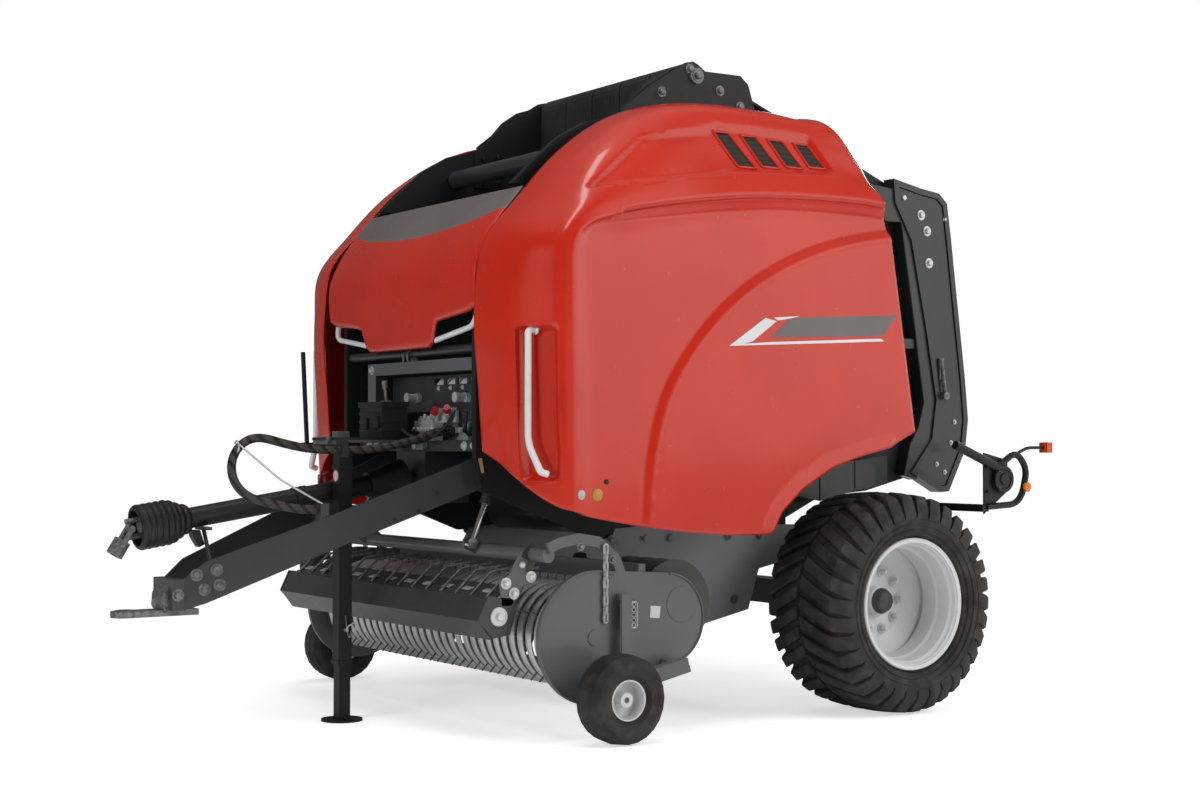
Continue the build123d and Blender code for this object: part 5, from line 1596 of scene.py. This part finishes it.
onePiece(drawCoils, "valve_coils", "plated", "frame")
onePiece(drawValveSlices, "coupling_stems", "plated", "frame")
onePiece(drawCaps, "coupling_caps", "capRed", "frame")
onePiece(drawLines, "valve_lines", "hose", "frame")
onePiece(drawConsole, "console_lids", "plastic", "frame", bevel=2)
onePiece(drawLever, "console_lever", "worn", "frame", bevel=1)
onePiece(drawShelfEdges, "console_shelf", "grey", "frame", bevel=1)
onePiece(drawHoopFace, "front_hoop_face", "grey", "frame")
onePiece(drawSlats, "louvre_slats", "silver", "frame")
onePiece(drawLatch, "hood_latch", "worn", "frame", bevel=1)
onePiece(drawHoopBolts, "front_bolts", "plated", "frame")
print("stage: front bay")


# Drawbar, jack, drive shaft and the hose's support
hitchTrim = {
    "nose": (112, -2990),     # where the outer face of the drawbar's left plate starts
    "slope": 0.3107,      # how far the drawbar's plates spread for each millimetre to the rear
    "jack": (45, -2222),  # the middle of the jack's column
    "holes": [(-1956, 1018), (-2032, 940), (-2132, 902)],
    "noseBolts": [(-2908, 617), (-2848, 636), (-2940, 680), (-2860, 700)],
    "sign": (45, -2254, 1091),
    "holderPlate": [(-2905, 864), (-2865, 862), (-2845, 800), (-2868, 788), (-2895, 830)],
    "wallPlate": [(-1868, 1170), (-1852, 1106), (-1838, 1108), (-1850, 1172)],
}


def onDrawbar(y, z):
    # a place on the outer face of the drawbar's left plate
    x, start = hitchTrim["nose"]
    return (x + (y - start) * hitchTrim["slope"], y, z)


def drawHoleShades(shape):
    # flat black discs where the holes are: painted shade of the holes' insides
    for y, z in hitchTrim["holes"]:
        addDisc(shape, onDrawbar(y, z), (1, -hitchTrim["slope"], 0), 11, 1.2, 24, 0.4)


def drawNoseBolts(shape):
    addBolts(shape, [onDrawbar(y, z) for y, z in hitchTrim["noseBolts"]],
             (1, -hitchTrim["slope"], 0), 28, 15)
    addBolts(shape, [(112, -3016, 597)], (1, 0, 0), 28, 15)
    addBolts(shape, [(x, -2960, 532) for x in (-36, 36)], (0, 0, 1), 24, 12)


def drawTongue(shape):
    # collar round the towing eye, and the nose's rounded shoe
    addTurned(shape, [(-1, 26), (-1, 44), (28, 44), (30, 41), (30, 26)], (0, -3205, 506),
              (0, 0, 1), 48)
    addPrism(shape, [(-3066, 548), (-3058, 532), (-2980, 532), (-2980, 640), (-3040, 640),
                     (-3062, 600)], -70, 70)


def drawJackPin(shape):
    # a pin through the column, and the loop of its spring clip
    x, y = hitchTrim["jack"]
    addBar(shape, (x - 51, y, 405), (x + 51, y, 405), 7, 16)
    loop = [(x + 47, y, 405), (x + 51, y, 420), (x + 51, y + 42, 440), (x + 51, y + 42, 400)]
    addPipe(shape, bendPath(loop, 12, 4), 4, 10)


def drawJackChain(shape):
    x, y = hitchTrim["jack"]
    for side in (-33, 33):
        addPipe(shape, sagging((x + side, y, 470), (x + 51, y + 22, 404), 60), 3.4, 8)


def drawJackBands(shape):
    x, y = hitchTrim["jack"]
    for low, high in ((1120, 1140), (252, 270)):
        addBlock(shape, x - 36, x + 36, y - 36, y + 36, low, high)


def drawBellows(shape):
    # ribbed sleeve over the front bell of the shaft's guard
    rear, front = Vector((-45, -1850, 1078)), Vector((-45, -3120, 880))
    length = (front - rear).length
    outer = []
    for index in range(73):
        share = 0.838 + 0.18 * index / 72
        base = 58 + 34 * smoothStep(share, 0.838, 0.915)
        outer.append((share * length, base + 6.5 * abs(math.sin(math.pi * index / 9))))
    inner = [(outer[-1][0], 84), (outer[40][0], 84), (outer[0][0], 57)]
    addTurned(shape, outer + inner, rear, front - rear, 64)
    for share in (0.07, 0.40, 0.43):
        along = share * length
        addTurned(shape, [(along, 44), (along, 50), (along + 24, 50), (along + 24, 44)], rear,
                  front - rear, 48)


def drawHoseRod(shape):
    # bent rod that holds up the loop, with an open ring at its end
    addPipe(shape, bendPath([(262, -2418, 970), (240, -2440, 988), (214, -2600, 1080),
                             (196, -2790, 1238)], 30, 5), 4.5, 10)
    ring = [(192 + 24 * math.sin(a), -2790, 1222 + 24 * math.cos(a)) for a in
            (math.radians(-60 + 15 * i) for i in range(17))]
    addPipe(shape, ring, 4, 8)


# black discs on the drawbar plate: painted shade in its holes
onePiece(drawHoleShades, "drawbar_hole_shades", "plastic", "frame")
onePiece(drawNoseBolts, "drawbar_bolts", "worn", "frame")
onePiece(drawTongue, "hitch_shoe", "worn", "frame", bevel=2)
onePiece(addDisc, "column_sign", "white", "frame", hitchTrim["sign"], (0, -1, 0), 29, 1.6,
         40, 0.4)
onePiece(addTurned, "column_sign_ring", "capRed", "frame",
         [(1, 24), (1, 29.5), (2.4, 29.5), (2.4, 24)], hitchTrim["sign"], (0, -1, 0), 40)
bothSides(addPrism, "wall_plate_{}", "yellow", "frame", hitchTrim["wallPlate"], 639.5, 641.2)
onePiece(drawJackPin, "jack_pin", "plated", "frame")
onePiece(drawJackChain, "jack_chain", "worn", "frame")
# a thin black disc on the leg where its hole is: painted shade of the hole
onePiece(addDisc, "jack_hole_shade", "plastic", "jack_leg", (45, -2249.6, 92), (0, -1, 0), 8, 0.3,
         24, 0.1)
onePiece(drawJackBands, "jack_bands", "black", "frame", bevel=1)
onePiece(drawBellows, "shaft_bellows", "plastic", "frame", angle=60)
onePiece(addPrism, "shaft_holder_plate", "black", "frame", hitchTrim["holderPlate"], -70, -20,
         bevel=1)
onePiece(drawHoseRod, "hose_rod", "plated", "frame")
print("stage: drawbar")


# Floor, world and lamps: a white hall behind the machine's left side, dark ahead of it
stageLight = {
    "brightWay": (0.62, 0.76, -0.2),    # where the world is bright
    "dim": 0.12,         # strength of the world ahead of the machine and to its right
    "bright": 1.35,      # strength of the world behind its left side
    "sky": 0.3,          # what the world adds straight overhead
    "whiteFrom": 2.6,    # metres from the middle where the floor starts to turn plain white
    "whiteAt": 4.0,
    "floorGlow": 0.56,   # what the floor adds to its own shade, near the machine
    "brightBand": (0.42, 0.92),     # cosines between which the dark side turns bright
    "skyBand": (0.6, 0.95),
    "tint": (1, 0.96, 0.9, 1),
}
# name, watts, size and place in metres, what the lamp looks at, and whether it's mirrored
lamps = [
    # softboxes on the machine's left, ahead of it and overhead
    ("keySoftbox", 212, (4, 3), (7.0, 3.0, 4.4), (0.8, 0.3, 1.3), False),
    ("fillSoftbox", 260, (4, 3), (2.5, -8, 3.4), (0, -0.4, 1.2), False),
    ("topSoftbox", 130, (5, 5), (0, 0, 7.5), (0, 0, 1), False),
    # narrow strips that the rounded roof edges mirror, overhead and behind the machine
    ("roofStrip", 40, (0.7, 4), (1.8, -1.5, 6), (0.5, -0.5, 2.5), True),
    ("backStrip", 120, (5, 1.5), (-3, 7, 4.5), (0, 0.5, 1.6), True),
]


def addLamp(name, power, size, place, target, mirrored):
    light = bpy.data.lights.new(name, "AREA")
    light.energy = power
    light.shape = "RECTANGLE"
    light.size, light.size_y = size
    lamp = bpy.data.objects.new(name, light)
    lamp.location = place
    lamp.rotation_euler = (Vector(target) - Vector(place)).to_track_quat("-Z", "Y").to_euler()
    lamp.visible_glossy = mirrored
    bpy.context.scene.collection.objects.link(lamp)


def addFloor():
    # pale paper floor that shows contact shadows and turns plain white further out
    shape = bmesh.new()
    addFaces(shape, [(-30, -30, 0), (30, -30, 0), (30, 30, 0), (-30, 30, 0)], [[0, 1, 2, 3]])
    mesh = bpy.data.meshes.new("studioFloor")
    shape.to_mesh(mesh)
    shape.free()
    floor = bpy.data.objects.new("studioFloor", mesh)
    bpy.context.scene.collection.objects.link(floor)
    material, tree, shader = newMaterial("paleFloor", {"Roughness": 0.85})
    feed(tree, shader, {"Base Color": twoTone(tree, mottle(tree, 0.6), "#f1f1f1", "#f6f6f6")})
    away = addNode(tree, "ShaderNodeVectorMath", {"operation": "LENGTH"}, {0: placeIn(tree)})
    far = spread(tree, away.outputs["Value"], 0.0, 1.0, stageLight["whiteFrom"],
                 stageLight["whiteAt"])
    glow, white = (addNode(tree, "ShaderNodeEmission", {"Color": (1, 1, 1, 1), "Strength": power})
                   for power in (stageLight["floorGlow"], 1.0))
    path = addNode(tree, "ShaderNodeLightPath")
    lit = addNode(tree, "ShaderNodeAddShader",
                  links={0: shader.outputs["BSDF"], 1: glow.outputs["Emission"]})
    faded = addNode(tree, "ShaderNodeMixShader",
                    links={0: far, 1: lit.outputs["Shader"],
                           2: white.outputs["Emission"]})
    seen = addNode(tree, "ShaderNodeMixShader",
                   links={0: path.outputs["Is Camera Ray"], 1: shader.outputs["BSDF"],
                          2: faded.outputs["Shader"]})
    tree.links.new(seen.outputs["Shader"], tree.nodes["Material Output"].inputs["Surface"])
    mesh.materials.append(material)


def addWorld():
    world = bpy.data.worlds.new("studio")
    bpy.context.scene.world = world
    world.use_nodes = True
    tree = world.node_tree
    tree.nodes.clear()
    way = addNode(tree, "ShaderNodeTexCoord")
    facing = addNode(tree, "ShaderNodeVectorMath",
                     {"operation": "DOT_PRODUCT", 1: stageLight["brightWay"]},
                     {0: way.outputs["Generated"]})
    level = addNode(tree, "ShaderNodeMapRange",
                    {"From Min": stageLight["brightBand"][0],
                     "From Max": stageLight["brightBand"][1], "To Min": stageLight["dim"],
                     "To Max": stageLight["bright"], "interpolation_type": "SMOOTHSTEP"},
                    {"Value": facing.outputs["Value"]})
    apart = addNode(tree, "ShaderNodeSeparateXYZ", links={"Vector": way.outputs["Generated"]})
    sky = addNode(tree, "ShaderNodeMapRange",
                  {"From Min": stageLight["skyBand"][0], "From Max": stageLight["skyBand"][1],
                   "To Max": stageLight["sky"], "interpolation_type": "SMOOTHSTEP"},
                  {"Value": apart.outputs["Z"]})
    whole = addNode(tree, "ShaderNodeMath", {"operation": "ADD"},
                    {0: level.outputs["Result"], 1: sky.outputs["Result"]})
    hall = addNode(tree, "ShaderNodeBackground", {"Color": stageLight["tint"]},
                   {"Strength": whole.outputs["Value"]})
    white = addNode(tree, "ShaderNodeBackground", {"Color": (1, 1, 1, 1), "Strength": 1.0})
    path = addNode(tree, "ShaderNodeLightPath")
    seen = addNode(tree, "ShaderNodeMath", {"operation": "MAXIMUM"},
                   {0: path.outputs["Is Camera Ray"], 1: path.outputs["Is Transmission Ray"]})
    mixed = addNode(tree, "ShaderNodeMixShader",
                    links={0: seen.outputs["Value"], 1: hall.outputs["Background"],
                           2: white.outputs["Background"]})
    out = addNode(tree, "ShaderNodeOutputWorld")
    tree.links.new(mixed.outputs["Shader"], out.inputs["Surface"])


addFloor()
addWorld()
for lamp in lamps:
    addLamp(*lamp)
bpy.context.scene.view_settings.view_transform = "Standard"
print("stage: studio")
